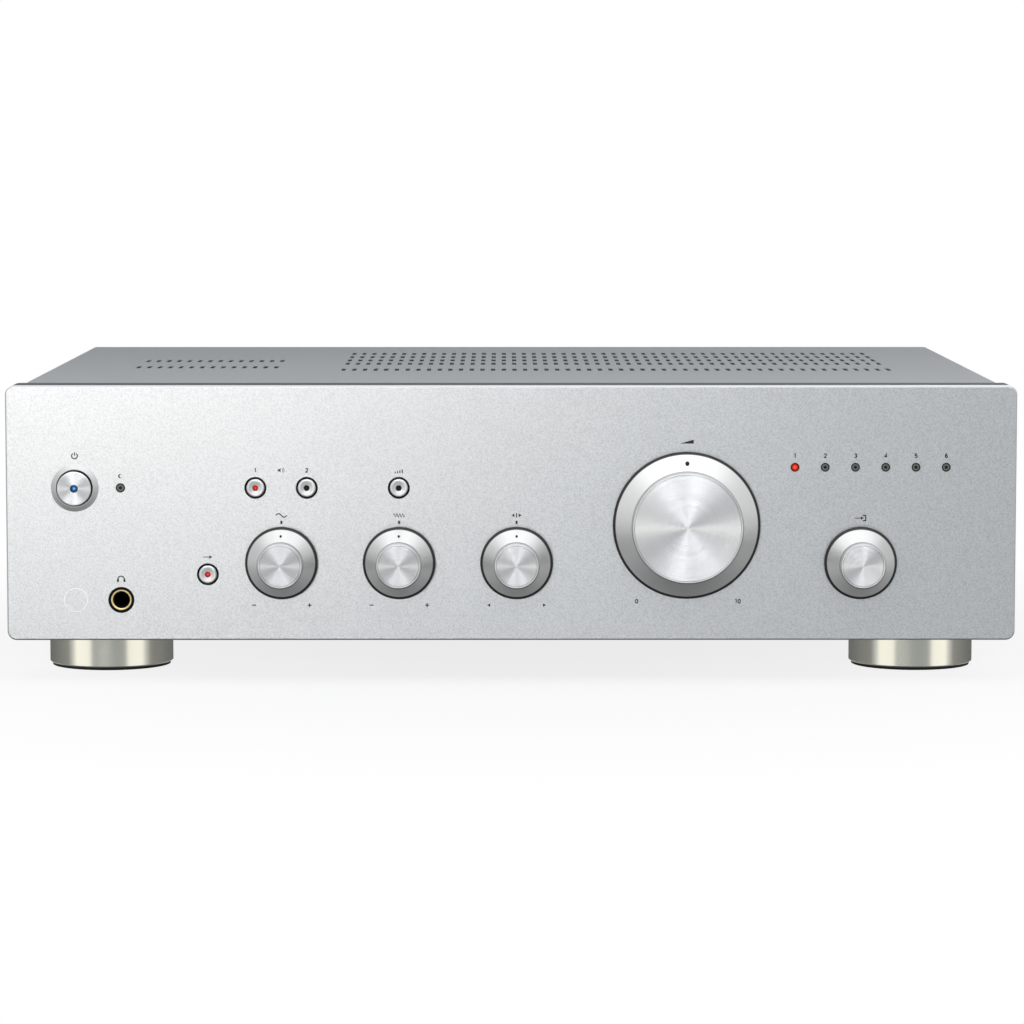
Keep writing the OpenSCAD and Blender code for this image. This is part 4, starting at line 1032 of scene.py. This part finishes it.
def bright_edge():
    material, spot = start("bright_edge")
    worn = noise(spot, 2500.0)
    return close(material, Base_Color=tint(worn, (0.90, 0.905, 0.91), (0.97, 0.97, 0.97)), Metallic=1.0,
                 Roughness=0.36 + 0.08 * worn)


plug = axis_of("blank_plug") / MM
rim = ribbon(arc(PLUG_RIM, 0, 360, 72)[:-1], PLUG_PEN, closed=True)
lay("plug_rim", moved(rim, plug.x, plug.z), bright_edge())

# %% [markdown]
# A few marks go on the back, in pale ink on the dark paint, drawn larger with the same pen strokes. A
# mark there is mirrored in x, because the reader walks round to see it.

# %% Marks on the back
REAR_PEN = 0.3
PHONO_FIRST, PHONO_STEP, PHONO_UP = 190.5, 17.0, 19.0
INLET_UP, EARTH_UP, POST_UP, PAIR_LIFT = 17.0, 10.0, 10.2, 1.0
WAVE_SIZE, EARTH_SIZE, NUMBER_SIZE, POST_SIZE = 1.6, 1.4, 1.3, 1.2

inlet_x, inlet_z = place_of("mains_inlet")
earth_x, earth_z = place_of("ground_screw")
phono_z = place_of("phono_block")[1]
rear_marks = moved(MAINS_WAVE, -inlet_x, inlet_z + INLET_UP, WAVE_SIZE)
rear_marks += moved(EARTH, -earth_x, earth_z + EARTH_UP, EARTH_SIZE)
for i in range(7):
    figure = number(str(i + 1), REAR_PEN)
    rear_marks += moved(figure, PHONO_STEP * i - PHONO_FIRST, phono_z + PHONO_UP, NUMBER_SIZE)
lay("rear_marks", rear_marks, rear_ink, REAR, -1)
block_x, block_z = place_of("terminal_block")
post_marks = []
for row, pair, up in (("a", "1", POST_UP), ("b", "2", -POST_UP)):
    row_z = place_of("cap_" + row + "_1")[1]
    post_marks += moved(number(pair, REAR_PEN), -block_x, row_z + PAIR_LIFT, NUMBER_SIZE)
    for i, sign in enumerate((PLUS, MINUS, MINUS, PLUS)):
        post_marks += moved(sign, -post_x - step_x * i, row_z + up, POST_SIZE)
lay("post_marks", post_marks, rear_ink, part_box("terminal_block")[1].y, -1)

# %% [markdown]
# ## Screw heads
# The solids have plain round heads, and a real pan head is domed with a cross in it. The cross could be
# cut out of a dome with a boolean. Here the dome and the cross come from one grid of points: the height
# of each point is the dome's, less the cross where the point lies in one of its arms.

# %% One pan head
HEAD_R, HEAD_TALL, HEAD_DOME, HEAD_TURN = 3.06, 2.1, 0.55, 20
CROSS_HALF, CROSS_REACH, CROSS_DEEP = 0.42, 1.75, 0.5
HEAD_RINGS, HEAD_SPOKES = 14, 48


def head_height(u, v):
    """How high the head stands at a place, with its cross cut in."""
    dome = HEAD_TALL + HEAD_DOME * (1 - (u * u + v * v) / HEAD_R ** 2)
    cut = min(abs(u), abs(v)) < CROSS_HALF and max(abs(u), abs(v)) < CROSS_REACH
    return dome - CROSS_DEEP if cut else dome


def pan_head(film, place, out):
    """One domed head with a cross: place is the seat's middle and out the way it faces."""
    turn = Vector(out).to_track_quat("Z", "Y").to_matrix().to_4x4()
    put = Matrix.Translation(place) @ turn @ Matrix.Rotation(math.radians(HEAD_TURN), 4, "Z")
    circles = [arc(HEAD_R * i / HEAD_RINGS, 0, 360, HEAD_SPOKES)[:-1] for i in range(HEAD_RINGS + 1)]
    points = [[(u, v, head_height(u, v)) for u, v in circle] for circle in circles]
    points.append([(u, v, 0) for u, v in circles[-1]])
    rows = [[film.verts.new(put @ (Vector(point) * MM)) for point in row] for row in points]
    for inner, outer in zip(rows, rows[1:]):
        for k in range(HEAD_SPOKES):
            film.faces.new((inner[k - 1], outer[k - 1], outer[k], inner[k]))
    film.faces.new(rows[-1])


print("a head", 2 * HEAD_R, "mm wide")

# %% All pan heads
SIDE_DEPTHS, SIDE_UP = (90, 250), 28.0
COVER_UP, PANEL_UP = 123.0, 25.5
INLET_REACH, BLOCK_REACH_X, BLOCK_REACH_Z = 20, 43, 23
BOTH_WAYS = (-1, 1)
COVER_PLACES, PANEL_SHARES, PHONO_GAPS = (-150, 0, 150), (-0.87, -0.28, 0.28, 0.87), (0.5, 2.5, 5.5)

cover_half, panel_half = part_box("top_cover")[1].x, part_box("front_panel")[1].x / MM
corners = [(sx, sz) for sx in BOTH_WAYS for sz in BOTH_WAYS]
back_screws = (
    ("top_cover", [(x, COVER_UP) for x in COVER_PLACES]),
    ("rear_panel", [(share * panel_half, PANEL_UP) for share in PANEL_SHARES]),
    ("mains_inlet", [(inlet_x + s * INLET_REACH, inlet_z) for s in BOTH_WAYS]),
    ("terminal_block", [(block_x + sx * BLOCK_REACH_X, block_z + sz * BLOCK_REACH_Z) for sx, sz in corners]),
    ("rear_panel", [(PHONO_FIRST - PHONO_STEP * i, phono_z) for i in PHONO_GAPS]),
)
heads = []
for s in BOTH_WAYS:
    for depth in SIDE_DEPTHS:
        heads.append((Vector((s * cover_half, FACE + depth * MM, SIDE_UP * MM)), (s, 0, 0)))
for name, places in back_screws:
    back_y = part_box(name)[1].y
    heads += [(Vector((x * MM, back_y, z * MM)), (0, 1, 0)) for x, z in places]
film = bmesh.new()
for place, out in heads:
    pan_head(film, place, out)
bmesh.ops.remove_doubles(film, verts=film.verts[:], dist=WELD)
bmesh.ops.recalc_face_normals(film, faces=film.faces[:])
pan_heads = new_piece("pan_heads", film, solids["case_screws"].data.materials[0])
for face in pan_heads.data.polygons:
    face.use_smooth = len(face.vertices) < 5
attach(pan_heads, "chassis")
print(len(heads), "pan heads")
